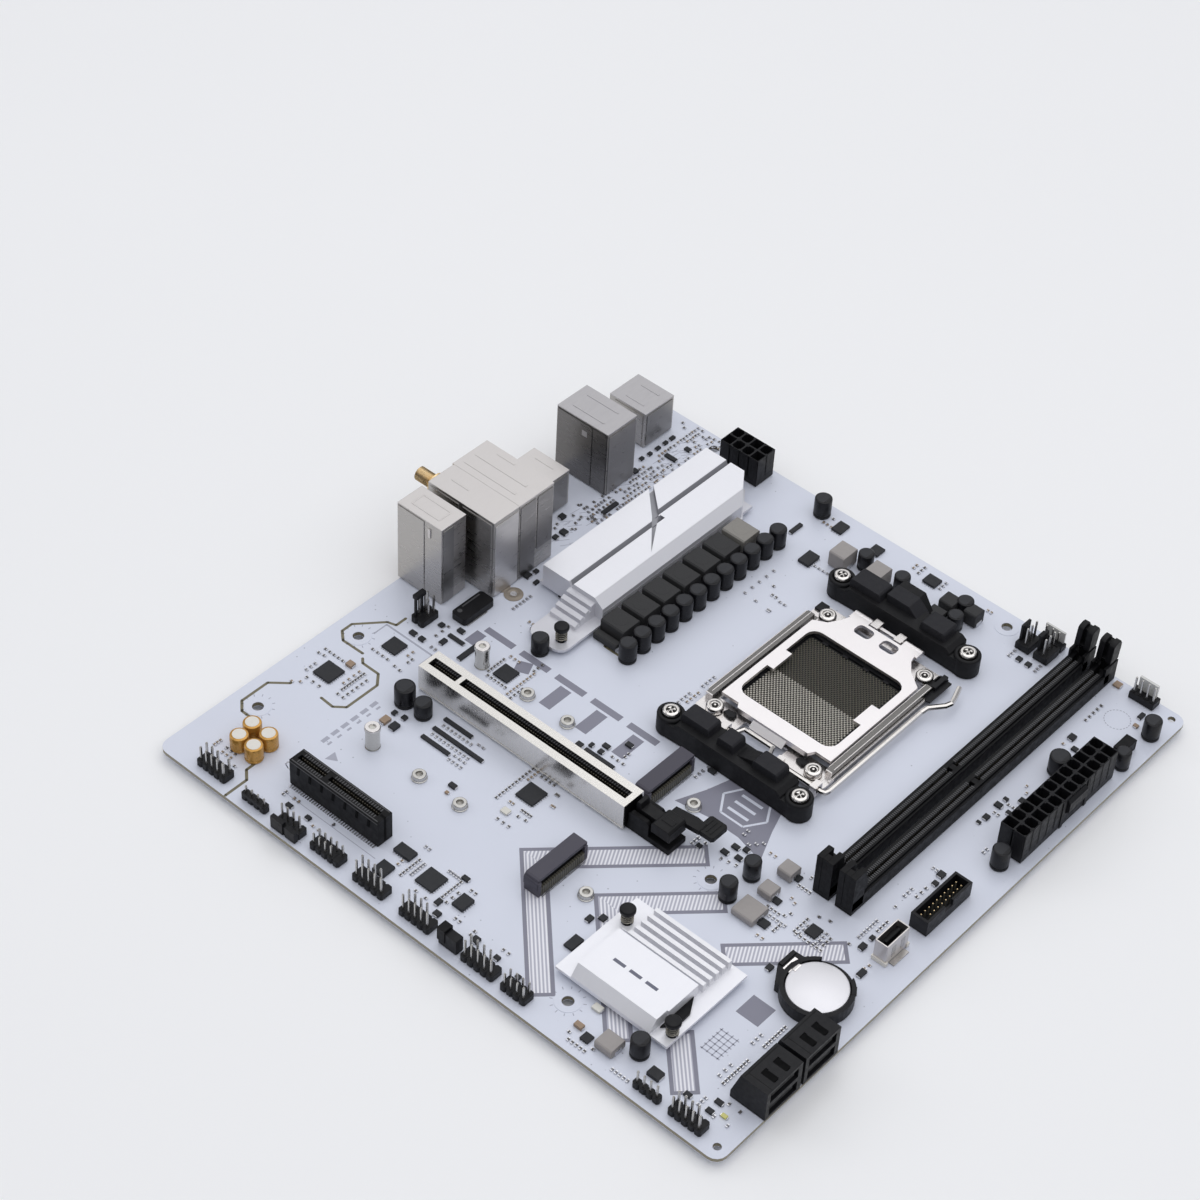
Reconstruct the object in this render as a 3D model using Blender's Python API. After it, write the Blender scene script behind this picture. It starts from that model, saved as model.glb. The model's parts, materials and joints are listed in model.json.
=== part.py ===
"""A short micro-ATX motherboard as an assembly of separate pieces.

Board coordinates are millimetres: x from the rear edge to the front edge, y from the bottom
edge to the top edge, z up from the component side. place() turns them into the part's frame.
"""

import math

import bmesh
import bpy
from mathutils import Matrix, Vector

MM = 0.001

# Board
BOARD_DEPTH = 235.6
BOARD_WIDTH = 243.84
BOARD_THICKNESS = 1.6
CORNER_RADIUS = 4.0
BOARD_BACK = -BOARD_THICKNESS
GAP = 0.3
HOLE_RADIUS = 1.98
PAD_RADIUS = 4.4
PAD_PROUD = 0.12
MOUNT_HOLES = (
    (10.16, 34.29),
    (10.16, 80.01),
    (33.02, 237.49),
    (165.1, 237.49),
    (165.1, 80.01),
    (165.1, 13.97),
)
CORNER_HOLES = ((231.2, 240.4), (231.6, 4.4))
CORNER_HOLE_RADIUS = 1.4

# Processor socket
CPU_X = 140.2
CPU_Y = 165.4
COOLER_PITCH_X = 54.0
COOLER_PITCH_Y = 90.0
FRAME_SCREW_X = 20.8
FRAME_SCREW_Y = 29.8
PLATE_HINGE_Y = 202.2
PLATE_HINGE_Z = 4.4
LEVER_PIVOT_Y = 130.4
LEVER_PIVOT_Z = 3.4
BACKPLATE_BOTTOM = -4.0
BRACKET_TOP = 12.0

# Heatsinks
SINK_TOP = 11.0
HEATSINK_SCREW = (61.4, 217.6)
PUSH_PIN_PLACES = {
    "regulator_push_pin": (61.5, 124.2),
    "chipset_push_pin_1": (158.9, 47.4),
    "chipset_push_pin_2": (197.0, 24.4),
}

# Rear connectors
ANTENNA_TIP = -11.5
STACK_HEIGHT = 34.4

# Memory slots
DIMM_CENTRES_X = (194.2, 203.1)
DIMM_START_Y = 98.3
DIMM_END_Y = 242.6
DIMM_WIDTH = 6.4
DIMM_BODY_TOP = 6.8
LATCH_PIVOT = (241.0, 2.2)

# Expansion slots
LONG_SLOT_Y = 80.75
SHORT_SLOT_Y = 21.2
SLOT_TOP = 11.2
RETAINER_PIVOT = (137.0, 4.2)

# Power and storage
FRONT_FACE = 236.0

# The part's frame: bounding box centre in x and y, lowest point in z
ORIGIN_X = (ANTENNA_TIP + FRONT_FACE) / 2
ORIGIN_Y = BOARD_WIDTH / 2
ORIGIN_Z = BACKPLATE_BOTTOM

PARTS = None
CUTTERS = None
MATERIALS = {}

LOOKS = {
    "white_board": ((0.80, 0.82, 0.88), 0.45, 0.0),
    "black_plastic": ((0.025, 0.025, 0.028), 0.50, 0.0),
    "grey_plastic": ((0.10, 0.10, 0.12), 0.50, 0.0),
    "bright_steel": ((0.75, 0.74, 0.73), 0.25, 1.0),
    "shield_steel": ((0.60, 0.58, 0.56), 0.35, 1.0),
    "white_aluminium": ((0.86, 0.86, 0.88), 0.40, 0.2),
    "gold_plate": ((0.83, 0.62, 0.28), 0.30, 1.0),
    "dark_ferrite": ((0.07, 0.07, 0.075), 0.60, 0.0),
    "chip_black": ((0.04, 0.04, 0.045), 0.45, 0.0),
}


def clear_scene():
    for obj in list(bpy.data.objects):
        bpy.data.objects.remove(obj, do_unlink=True)
    for collection in list(bpy.data.collections):
        bpy.data.collections.remove(collection)


def make_collections():
    global PARTS, CUTTERS
    PARTS = bpy.data.collections.new("motherboard")
    CUTTERS = bpy.data.collections.new("cutters")
    for collection in (PARTS, CUTTERS):
        bpy.context.scene.collection.children.link(collection)
    CUTTERS.hide_render = True


def make_materials():
    for name, (colour, roughness, metallic) in LOOKS.items():
        material = bpy.data.materials.new(name)
        material.use_nodes = True
        shader = material.node_tree.nodes["Principled BSDF"]
        shader.inputs["Base Color"].default_value = (*colour, 1.0)
        shader.inputs["Roughness"].default_value = roughness
        shader.inputs["Metallic"].default_value = metallic
        MATERIALS[name] = material


def place(x, y, z):
    return Vector(((x - ORIGIN_X) * MM, (y - ORIGIN_Y) * MM, (z - ORIGIN_Z) * MM))


def object_from(mesh_data, name):
    mesh = bpy.data.meshes.new(name)
    mesh_data.to_mesh(mesh)
    mesh_data.free()
    return bpy.data.objects.new(name, mesh)


def box(x, y, z):
    """A box between two limits on each axis, as (low, high) pairs."""
    shape = bmesh.new()
    bmesh.ops.create_cube(shape, size=1.0)
    low = place(x[0], y[0], z[0])
    high = place(x[1], y[1], z[1])
    size = high - low
    centre = (high + low) / 2
    matrix = Matrix.Translation(centre) @ Matrix.Diagonal((*size, 1.0))
    bmesh.ops.transform(shape, matrix=matrix, verts=shape.verts)
    return shape


def rod(centre, radius, span, axis="z", sides=20, top_radius=None):
    """A cylinder or cone along one axis. centre is the other two coordinates."""
    shape = bmesh.new()
    end_radius = radius if top_radius is None else top_radius
    length = (span[1] - span[0]) * MM
    bmesh.ops.create_cone(
        shape,
        cap_ends=True,
        segments=sides,
        radius1=radius * MM,
        radius2=end_radius * MM,
        depth=length,
    )
    middle = (span[0] + span[1]) / 2
    if axis == "z":
        turn = Matrix.Identity(4)
        point = place(centre[0], centre[1], middle)
    elif axis == "x":
        turn = Matrix.Rotation(math.pi / 2, 4, "Y")
        point = place(middle, centre[0], centre[1])
    else:
        turn = Matrix.Rotation(-math.pi / 2, 4, "X")
        point = place(centre[0], middle, centre[1])
    bmesh.ops.transform(shape, matrix=Matrix.Translation(point) @ turn, verts=shape.verts)
    return shape


def mesh_from_curve(curve_object):
    """Turns a curve object into a mesh object with its caps welded on."""
    bpy.context.scene.collection.objects.link(curve_object)
    bpy.context.view_layer.update()
    graph = bpy.context.evaluated_depsgraph_get()
    mesh = bpy.data.meshes.new_from_object(curve_object.evaluated_get(graph))
    shape = bmesh.new()
    shape.from_mesh(mesh)
    bmesh.ops.transform(shape, matrix=curve_object.matrix_world, verts=shape.verts)
    bmesh.ops.remove_doubles(shape, verts=shape.verts, dist=1e-6)
    bmesh.ops.recalc_face_normals(shape, faces=shape.faces)
    bpy.data.objects.remove(curve_object, do_unlink=True)
    bpy.data.meshes.remove(mesh)
    return shape


def prism(outline, span, axis="z"):
    """A flat outline extruded along one axis. On x it is (y, z) points, on y (x, z) points."""
    shape = bmesh.new()
    corners = []
    for first, second in outline:
        if axis == "z":
            point = place(first, second, span[0])
        elif axis == "x":
            point = place(span[0], first, second)
        else:
            point = place(first, span[0], second)
        corners.append(shape.verts.new(point))
    face = shape.faces.new(corners)
    grown = bmesh.ops.extrude_face_region(shape, geom=[face])
    moved = [item for item in grown["geom"] if isinstance(item, bmesh.types.BMVert)]
    offset = Vector([(span[1] - span[0]) * MM if axis == name else 0.0 for name in "xyz"])
    bmesh.ops.translate(shape, vec=offset, verts=moved)
    bmesh.ops.recalc_face_normals(shape, faces=shape.faces)
    return shape


def wire(points, radius, resolution=2):
    """A round wire through points in board coordinates."""
    curve = bpy.data.curves.new("wire", "CURVE")
    curve.dimensions = "3D"
    curve.bevel_depth = radius * MM
    curve.bevel_resolution = resolution
    curve.use_fill_caps = True
    spline = curve.splines.new("POLY")
    spline.points.add(len(points) - 1)
    for point, position in zip(spline.points, points):
        point.co = (*place(*position), 1.0)
    return mesh_from_curve(bpy.data.objects.new("wire", curve))


def rounded_rectangle(x, y, radius, steps=4):
    """The corner points of a rectangle with round corners, anticlockwise."""
    corners = (
        (x[1] - radius, y[1] - radius, 0.0),
        (x[0] + radius, y[1] - radius, 90.0),
        (x[0] + radius, y[0] + radius, 180.0),
        (x[1] - radius, y[0] + radius, 270.0),
    )
    points = []
    for centre_x, centre_y, start in corners:
        for step in range(steps + 1):
            angle = math.radians(start + 90.0 * step / steps)
            points.append(
                (centre_x + radius * math.cos(angle), centre_y + radius * math.sin(angle))
            )
    return points


def combine(target, shapes, operation):
    for number, shape in enumerate(shapes):
        cutter = object_from(shape, f"{target.name}_{operation.lower()}_{number}")
        cutter.display_type = "WIRE"
        cutter.hide_render = True
        CUTTERS.objects.link(cutter)
        modifier = target.modifiers.new(f"{operation.title()} {number}", "BOOLEAN")
        modifier.operation = operation
        modifier.solver = "EXACT"
        modifier.object = cutter


def apply_modifiers(target):
    bpy.context.view_layer.update()
    graph = bpy.context.evaluated_depsgraph_get()
    mesh = bpy.data.meshes.new_from_object(target.evaluated_get(graph))
    target.modifiers.clear()
    target.data = mesh


def piece(name, look, shape, joined=(), cut=(), pivot=None, smooth=False):
    """One finished sub-part: a first shape, shapes joined to it, then shapes cut from it."""
    target = object_from(shape, name)
    PARTS.objects.link(target)
    combine(target, joined, "UNION")
    combine(target, cut, "DIFFERENCE")
    apply_modifiers(target)
    target.data.materials.clear()
    target.data.materials.append(MATERIALS[look])
    if smooth:
        target.data.shade_smooth()
        target.data.set_sharp_from_angle(angle=math.radians(35.0))
    if pivot is not None:
        origin = place(*pivot)
        target.data.transform(Matrix.Translation(-origin))
        target.location = origin
    return target


def fill_in(target, look, shapes):
    """Joins shapes that stand inside what was cut from a piece."""
    combine(target, shapes, "UNION")
    apply_modifiers(target)
    target.data.materials.clear()
    target.data.materials.append(MATERIALS[look])


def grid(first, pitch, count):
    return [first + pitch * index for index in range(count)]


def cooler_posts():
    return [
        (CPU_X + side * COOLER_PITCH_X / 2, CPU_Y + end * COOLER_PITCH_Y / 2)
        for end in (-1, 1)
        for side in (-1, 1)
    ]


def frame_screws():
    return [
        (CPU_X + side * FRAME_SCREW_X, CPU_Y - 0.4 + end * FRAME_SCREW_Y)
        for end in (-1, 1)
        for side in (-1, 1)
    ]


# --- Board and socket ---------------------------------------------------------------------


def make_board():
    outline = rounded_rectangle((0.0, BOARD_DEPTH), (0.0, BOARD_WIDTH), CORNER_RADIUS)
    pads = []
    cuts = []
    for hole in MOUNT_HOLES:
        pads.append(rod(hole, PAD_RADIUS, (BOARD_BACK - PAD_PROUD, PAD_PROUD), sides=20))
        cuts.append(rod(hole, HOLE_RADIUS, (-3.0, 2.0), sides=16))
    for hole in CORNER_HOLES:
        cuts.append(rod(hole, CORNER_HOLE_RADIUS, (-3.0, 2.0), sides=10))
    for hole in cooler_posts():
        cuts.append(rod(hole, 2.7, (-3.0, 2.0), sides=12))
    for hole in frame_screws():
        cuts.append(rod(hole, 1.9, (-3.0, 2.0), sides=10))
    for hole in (*PUSH_PIN_PLACES.values(), HEATSINK_SCREW):
        cuts.append(rod(hole, 1.7, (-3.0, 2.0), sides=10))
    piece("circuit_board", "white_board", prism(outline, (BOARD_BACK, 0.0)), pads, cuts)


def make_backplate():
    top = BOARD_BACK - GAP
    half_x = COOLER_PITCH_X / 2 + 6.0
    half_y = COOLER_PITCH_Y / 2 + 6.0
    outline = rounded_rectangle(
        (CPU_X - half_x, CPU_X + half_x), (CPU_Y - half_y, CPU_Y + half_y), 6.0
    )
    posts = [rod(post, 2.3, (top - 0.5, 0.2), sides=16) for post in cooler_posts()]
    cuts = [rod(post, 1.75, (top - 1.2, 1.0), sides=16) for post in cooler_posts()]
    cuts += [rod(hole, 1.75, (BACKPLATE_BOTTOM - 1.0, 1.0), sides=12) for hole in frame_screws()]
    piece(
        "socket_backplate",
        "bright_steel",
        prism(outline, (BACKPLATE_BOTTOM, top)),
        posts,
        cuts,
    )


def make_socket_housing():
    x = (CPU_X - 21.2, CPU_X + 21.2)
    y = (CPU_Y - 21.2, CPU_Y + 21.2)
    field = box((CPU_X - 19.3, CPU_X + 19.3), (CPU_Y - 19.3, CPU_Y + 19.3), (2.6, 5.0))
    piece("socket_housing", "black_plastic", box(x, y, (GAP, 3.6)), cut=[field])


def make_socket_frame():
    outline = rounded_rectangle((112.9, 167.6), (130.9, 200.4), 3.0, 3)
    rails = [
        box((113.4, 116.2), (138.0, 192.0), (2.0, 4.6)),
        box((164.2, 166.6), (138.0, 192.0), (2.0, 4.6)),
    ]
    ears = [
        box((CPU_X - 6.5, CPU_X - 3.5), (200.0, 204.0), (GAP, 5.9)),
        box((CPU_X + 3.5, CPU_X + 6.5), (200.0, 204.0), (GAP, 5.9)),
    ]
    pads = [rod(screw, 4.2, (GAP, 2.2), sides=20) for screw in frame_screws()]
    bearings = []
    for low in (127.0, 149.6, 165.0):
        reach = (LEVER_PIVOT_Y - 1.9, LEVER_PIVOT_Y + 1.9)
        bearings.append(box((low, low + 2.4), reach, (1.0, LEVER_PIVOT_Z + 1.9)))
    cuts = [
        box((117.4, 163.0), (141.0, 192.4), (-1.0, 7.0)),
        box((130.4, 148.4), (129.0, 138.4), (-1.0, 7.0)),
        box((CPU_X - 12.0, CPU_X + 12.0), (194.6, 198.4), (-1.0, 7.0)),
    ]
    cuts += [rod(screw, 1.9, (-1.0, 4.0), sides=12) for screw in frame_screws()]
    cuts += [rod((PLATE_HINGE_Y, PLATE_HINGE_Z), 1.2, (120.0, 160.0), "x", 12)]
    cuts += [rod((LEVER_PIVOT_Y, LEVER_PIVOT_Z), 1.3, (120.0, 170.0), "x", 12)]
    piece(
        "socket_frame",
        "bright_steel",
        prism(outline, (1.1, 2.1)),
        rails + ears + pads + bearings,
        cuts,
    )


def make_load_plate():
    outline = [
        (118.0, 140.6),
        (125.2, 140.6),
        (126.4, 138.6),
        (156.0, 138.6),
        (157.4, 141.0),
        (163.7, 141.0),
        (163.7, 187.4),
        (157.8, 191.6),
        (154.6, 195.8),
        (153.6, 199.4),
        (126.8, 199.4),
        (125.2, 195.0),
        (122.6, 190.8),
        (118.0, 188.2),
    ]
    lip = box((126.6, 155.8), (138.7, 139.7), (3.4, 5.0))
    hinge = (PLATE_HINGE_Y, PLATE_HINGE_Z)
    knuckles = []
    for low, high in ((CPU_X - 14.5, CPU_X - 7.0), (CPU_X + 7.0, CPU_X + 14.5)):
        knuckles.append(box((low, high), (198.6, PLATE_HINGE_Y + 0.1), (4.7, 5.5)))
        knuckles.append(rod(hinge, 1.35, (low + 0.1, high - 0.1), "x", 14))
    pin = rod(hinge, 0.8, (CPU_X - 10.0, CPU_X + 10.0), "x", 10)
    tongue = prism(
        [(136.4, 2.9), (137.4, 2.5), (140.0, 4.7), (142.0, 4.7), (142.0, 5.7), (139.6, 5.7)],
        (CPU_X - 7.0, CPU_X + 7.0),
        "x",
    )
    window = rounded_rectangle((120.8, 160.6), (144.9, 185.5), 4.0)
    notches = [
        box((119.0, 123.5), (160.7, 170.6), (3.0, 7.0)),
        box((157.5, 162.0), (160.7, 170.6), (3.0, 7.0)),
    ]
    slots = [
        prism(rounded_rectangle((131.1, 137.8), (193.4, 198.2), 1.6, 3), (3.0, 7.0)),
        prism(rounded_rectangle((141.8, 148.3), (193.4, 198.2), 1.6, 3), (3.0, 7.0)),
    ]
    opening = prism(window, (3.0, 7.0))
    inner = object_from(opening, "plate_window")
    CUTTERS.objects.link(inner)
    inner.display_type = "WIRE"
    inner.hide_render = True
    combine(inner, notches, "DIFFERENCE")
    apply_modifiers(inner)
    window_shape = bmesh.new()
    window_shape.from_mesh(inner.data)
    piece(
        "load_plate",
        "bright_steel",
        prism(outline, (4.6, 5.8)),
        [*knuckles, pin, tongue, lip],
        [window_shape, *slots],
        pivot=(CPU_X, PLATE_HINGE_Y, PLATE_HINGE_Z),
    )


def make_load_lever():
    arm_x = 170.2
    y = LEVER_PIVOT_Y
    z = LEVER_PIVOT_Z
    points = [
        (125.6, y, z),
        (131.6, y, z),
        (133.2, y + 4.0, z),
        (145.0, y + 4.0, z),
        (146.6, y, z),
        (168.6, y, z),
        (169.8, y + 0.4, z),
        (arm_x, y + 1.8, z),
        (arm_x, 181.0, z),
        (arm_x + 0.6, 184.0, z + 0.4),
        (arm_x + 4.6, 188.4, z + 0.9),
        (arm_x + 5.4, 190.6, z + 1.0),
        (arm_x + 4.8, 193.0, z + 1.0),
        (arm_x + 2.9, 198.4, z + 1.0),
    ]
    piece(
        "load_lever",
        "bright_steel",
        wire(points, 1.0),
        pivot=(arm_x, y, z),
        smooth=True,
    )


def make_frame_screws():
    for number, screw in enumerate(frame_screws(), 1):
        head = rod(screw, 3.1, (2.5, 4.7), sides=20, top_radius=2.7)
        shaft = rod(screw, 1.4, (-3.2, 3.5), sides=12)
        recess = rod(screw, 1.1, (3.9, 6.0), sides=6)
        piece(f"socket_frame_screw_{number}", "bright_steel", head, [shaft], [recess], smooth=True)


def make_cooler_brackets():
    low_y = CPU_Y - COOLER_PITCH_Y / 2
    high_y = CPU_Y + COOLER_PITCH_Y / 2
    low_blocks = [
        box(x, (low_y - 1.4, low_y + 5.2), (8.0, BRACKET_TOP))
        for x in ((118.5, 129.9), (133.8, 140.2), (148.5, 158.4))
    ]
    ramp = [(139.8, 8.0), (148.9, 8.0), (148.9, BRACKET_TOP - 0.6), (140.8, 8.8)]
    low_blocks.append(prism(ramp, (low_y - 1.4, low_y + 5.2), "y"))
    high_blocks = [
        box(x, (high_y - 2.4, high_y + 5.1), (8.0, BRACKET_TOP))
        for x in ((118.3, 130.8), (148.5, 158.3))
    ]
    hood = [(131.8, 5.0), (146.0, 5.0), (141.4, BRACKET_TOP), (131.8, BRACKET_TOP)]
    high_blocks.append(prism(hood, (high_y, high_y + 10.4), "y"))
    make_cooler_bracket("lower_cooler_bracket", low_y, low_blocks)
    make_cooler_bracket("upper_cooler_bracket", high_y, high_blocks)


def make_cooler_bracket(name, y, blocks):
    beam = box((CPU_X - 22.0, CPU_X + 22.0), (y - 4.2, y + 5.6), (GAP, 8.8))
    foot = box((CPU_X - 27.0, CPU_X + 27.0), (y - 3.6, y + 3.6), (GAP, 6.6))
    posts = []
    cuts = []
    for side in (-1, 1):
        post = (CPU_X + side * COOLER_PITCH_X / 2, y)
        posts.append(rod(post, 4.7, (GAP, 8.0), sides=24))
        cuts.append(rod(post, 3.4, (6.6, 9.0), sides=20))
        cuts.append(rod(post, 2.6, (-1.0, 9.0), sides=16))
    piece(name, "black_plastic", beam, [foot, *blocks, *posts], cuts)


def make_bracket_screws():
    for number, post in enumerate(cooler_posts(), 1):
        head = rod(post, 3.0, (6.9, 9.2), sides=20)
        shaft = rod(post, 1.4, (-2.6, 7.4), sides=12)
        slots = [
            box((post[0] - 2.0, post[0] + 2.0), (post[1] - 0.4, post[1] + 0.4), (8.3, 10.0)),
            box((post[0] - 0.4, post[0] + 0.4), (post[1] - 2.0, post[1] + 2.0), (8.3, 10.0)),
        ]
        piece(f"cooler_bracket_screw_{number}", "bright_steel", head, [shaft], slots, smooth=True)


# --- Memory slots -------------------------------------------------------------------------


def make_memory_slots():
    half = DIMM_WIDTH / 2
    for number, x in enumerate(DIMM_CENTRES_X, 1):
        body = box((x - half, x + half), (DIMM_START_Y, DIMM_END_Y), (GAP, DIMM_BODY_TOP))
        towers = [
            box((x - half, x + half), (DIMM_START_Y, 104.2), (GAP, 17.0)),
            box((x - half, x + half), (235.4, DIMM_END_Y), (GAP, 9.4)),
        ]
        cuts = [
            box((x - 0.9, x + 0.9), (101.2, 165.0), (1.8, 20.0)),
            box((x - 0.9, x + 0.9), (167.2, 237.6), (1.8, 20.0)),
            box((x - 2.2, x + 2.2), (237.2, 244.0), (-1.0, 10.0)),
        ]
        piece(f"memory_slot_{number}", "black_plastic", body, towers, cuts)
        lower = prism(
            [(238.2, 3.2), (239.6, 0.9), (242.2, 0.9), (242.3, 9.2), (242.3, 11.0), (237.9, 11.0)],
            (x - 1.8, x + 1.8),
            "x",
        )
        head = prism(
            [(237.6, 10.0), (242.4, 10.0), (243.0, 16.6), (241.6, 18.6), (238.4, 18.6)],
            (x - 3.0, x + 3.0),
            "x",
        )
        slot = box((x - 0.9, x + 0.9), (230.0, 239.6), (3.4, 17.6))
        piece(
            f"memory_latch_{number}",
            "black_plastic",
            lower,
            [head],
            [slot],
            pivot=(x, *LATCH_PIVOT),
        )


# --- Expansion slots ----------------------------------------------------------------------


def make_long_slot():
    y = LONG_SLOT_Y
    body = box((42.4, 131.4), (y - 3.8, y + 3.8), (GAP, 10.2))
    joined = [
        box((131.0, 133.0), (y - 2.8, y + 3.8), (GAP, 2.6)),
        box((132.2, 149.2), (y - 2.8, y + 5.6), (GAP, 2.6)),
        box((132.2, 140.6), (y - 2.8, y - 1.2), (GAP, 8.4)),
        box((132.2, 140.6), (y + 4.0, y + 5.6), (GAP, 8.4)),
    ]
    cuts = [
        box((43.6, 55.6), (y - 0.9, y + 0.9), (2.6, 12.0)),
        box((57.4, 129.6), (y - 0.9, y + 0.9), (2.6, 12.0)),
    ]
    piece("long_expansion_slot", "black_plastic", body, joined, cuts)
    shell = box((42.0, 131.8), (y - 4.7, y + 4.7), (0.5, SLOT_TOP))
    inside = box((41.0, 133.0), (y - 4.1, y + 4.1), (-1.0, SLOT_TOP - 0.6))
    windows = [
        box((43.6, 55.6), (y - 1.8, y + 1.8), (8.0, 13.0)),
        box((57.4, 129.6), (y - 1.8, y + 1.8), (8.0, 13.0)),
    ]
    piece("long_slot_armour", "bright_steel", shell, cut=[inside, *windows])


def make_retainer():
    y = LONG_SLOT_Y + 1.4
    core = box((133.4, 148.8), (y - 2.1, y + 2.1), (5.4, 9.6))
    joined = [
        box((133.4, 135.6), (y - 2.1, y + 2.1), (5.4, 12.0)),
        box((141.4, 149.0), (y - 4.1, y + 4.1), (5.4, 10.0)),
        box((142.0, 154.0), (y + 3.0, y + 8.6), (6.8, 8.8)),
        box((152.3, 159.3), (y + 4.6, y + 12.4), (6.8, 8.4)),
        box((135.8, 138.2), (y - 2.1, y + 2.1), (3.1, 6.0)),
    ]
    piece(
        "slot_retainer",
        "black_plastic",
        core,
        joined,
        pivot=(RETAINER_PIVOT[0], y, RETAINER_PIVOT[1]),
    )


def make_short_slot():
    y = SHORT_SLOT_Y
    body = box((42.2, 81.4), (y - 3.3, y + 3.3), (GAP, SLOT_TOP))
    cuts = [
        box((43.6, 55.4), (y - 0.9, y + 0.9), (2.6, 12.0)),
        box((57.2, 79.0), (y - 0.9, y + 0.9), (2.6, 12.0)),
    ]
    piece("short_expansion_slot", "black_plastic", body, cut=cuts)


def make_card_sockets():
    for name, low_y in (("lower_card_socket", 37.0), ("upper_card_socket", 88.4)):
        body = box((125.3, 131.3), (low_y, low_y + 23.0), (GAP, 7.4))
        mouth = box((124.0, 128.3), (low_y + 1.2, low_y + 21.8), (4.0, 6.2))
        piece(name, "grey_plastic", body, cut=[mouth])
    for number, centre in enumerate(((49.4, 47.6), (49.2, 98.8)), 1):
        body = rod(centre, 2.7, (GAP, 7.6), sides=20)
        head = rod(centre, 2.6, (7.4, 9.2), sides=20)
        recess = rod(centre, 1.0, (8.4, 10.0), sides=6)
        piece(f"card_standoff_{number}", "bright_steel", body, [head], [recess], smooth=True)


# --- Heatsinks ----------------------------------------------------------------------------


def make_regulator_heatsink():
    profile = [
        (36.8, 1.6),
        (66.4, 1.6),
        (66.4, 2.8),
        (65.5, 2.8),
        (65.5, 8.0),
        (61.6, SINK_TOP),
        (38.2, SINK_TOP),
        (38.2, 2.8),
        (36.8, 2.8),
    ]
    body = prism(profile, (140.3, 226.0), "y")
    foot = rounded_rectangle((50.0, 66.3), (118.9, 145.0), 4.0, 3)
    slope = [(141.0, 2.6), (141.0, 9.0), (139.0, 8.6), (130.4, 4.2), (130.4, 2.6)]
    joined = [
        prism(foot, (1.7, 2.7)),
        prism(slope, (50.6, 62.0), "x"),
    ]
    corner = [(55.2, 227.0), (68.0, 227.0), (68.0, 210.8), (61.0, 219.3)]
    beyond_tab = [
        (56.4, 227.0),
        (68.0, 227.0),
        (68.0, 211.8),
        (64.6, 215.6),
        (64.6, 221.0),
        (60.9, 221.0),
    ]
    grooves = [
        prism([(49.6, 12.0), (51.1, 8.6), (52.6, 12.0)], (137.0, 187.4), "y"),
        prism([(47.1, 12.0), (48.6, 8.6), (50.1, 12.0)], (186.6, 228.0), "y"),
    ]
    slits = [
        box((49.0, 64.0), (y, y + 1.1), (z, 12.0))
        for y, z in ((137.2, 6.2), (134.6, 5.0), (132.0, 3.8))
    ]
    diagonal = [(36.8, 198.6), (49.2, 187.6), (60.4, 170.7), (48.6, 184.6), (36.8, 196.2)]
    cuts = [
        *grooves,
        *slits,
        prism(diagonal, (9.0, 12.0)),
        prism(corner, (2.8, 12.0)),
        prism(beyond_tab, (1.0, 4.0)),
        rod(PUSH_PIN_PLACES["regulator_push_pin"], 2.0, (0.0, 6.0), sides=12),
        rod(HEATSINK_SCREW, 1.3, (0.0, 2.2), sides=10),
    ]
    piece("regulator_heatsink", "white_aluminium", body, joined, cuts)
    screw = rod(HEATSINK_SCREW, 2.6, (-3.5, -1.9), sides=16)
    shaft = rod(HEATSINK_SCREW, 1.0, (-2.6, 1.9), sides=10)
    piece("regulator_heatsink_screw", "bright_steel", screw, [shaft], smooth=True)


def make_push_pins():
    for name, centre in PUSH_PIN_PLACES.items():
        base = 2.7 if name == "regulator_push_pin" else 3.0
        head = rod(centre, 2.6, (7.6, 9.4), sides=16)
        spring = rod(centre, 2.1, (base + GAP, 7.8), sides=12)
        shaft = rod(centre, 1.2, (-2.8, base + 1.0), sides=10)
        tip = rod(centre, 1.0, (-3.4, -2.7), sides=10, top_radius=1.35)
        piece(name, "black_plastic", head, [spring, shaft, tip], smooth=True)


def make_chipset():
    piece("chipset", "chip_black", box((164.0, 188.0), (27.0, 49.0), (GAP, 1.7)))
    base = box((154.8, 199.2), (19.4, 56.6), (2.0, 3.0))
    profile = [(19.4, 2.4), (19.4, 3.6), (22.4, 7.4), (40.8, 7.4), (40.8, 2.4)]
    panel = prism(profile, (161.2, 193.0), "x")
    fins = [box((161.2, 193.6), (y, y + 1.5), (2.4, 6.2)) for y in grid(42.2, 3.0, 5)]
    relief = [
        prism([(152.0, 58.0), (152.0, 42.4), (163.6, 42.4), (163.6, 58.0)], (3.0, 9.0)),
        prism([(192.4, 15.0), (204.0, 15.0), (204.0, 31.0), (192.4, 27.0)], (3.0, 9.0)),
    ]
    holes = [
        rod(PUSH_PIN_PLACES[name], 2.0, (0.0, 6.0), sides=12)
        for name in ("chipset_push_pin_1", "chipset_push_pin_2")
    ]
    piece("chipset_heatsink", "white_aluminium", base, [panel, *fins], relief + holes)


def make_regulator_parts():
    chokes = [box((67.6, 77.0), (137.5, 209.8), (GAP, 0.7))]
    for centre in grid(141.9, 10.55, 7):
        chokes.append(box((67.0, 77.4), (centre - 4.5, centre + 4.5), (GAP, 7.0)))
    piece("regulator_chokes", "dark_ferrite", chokes[0], chokes[1:])
    strip = box((81.0, 83.0), (134.7, 213.8), (GAP, 0.7))
    cans = [rod((82.0, y), 3.15, (GAP, 8.2), sides=12) for y in grid(134.7, 7.19, 12)]
    piece("regulator_capacitors", "black_plastic", strip, cans, smooth=True)


# --- Power, storage and small connectors --------------------------------------------------


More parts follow.
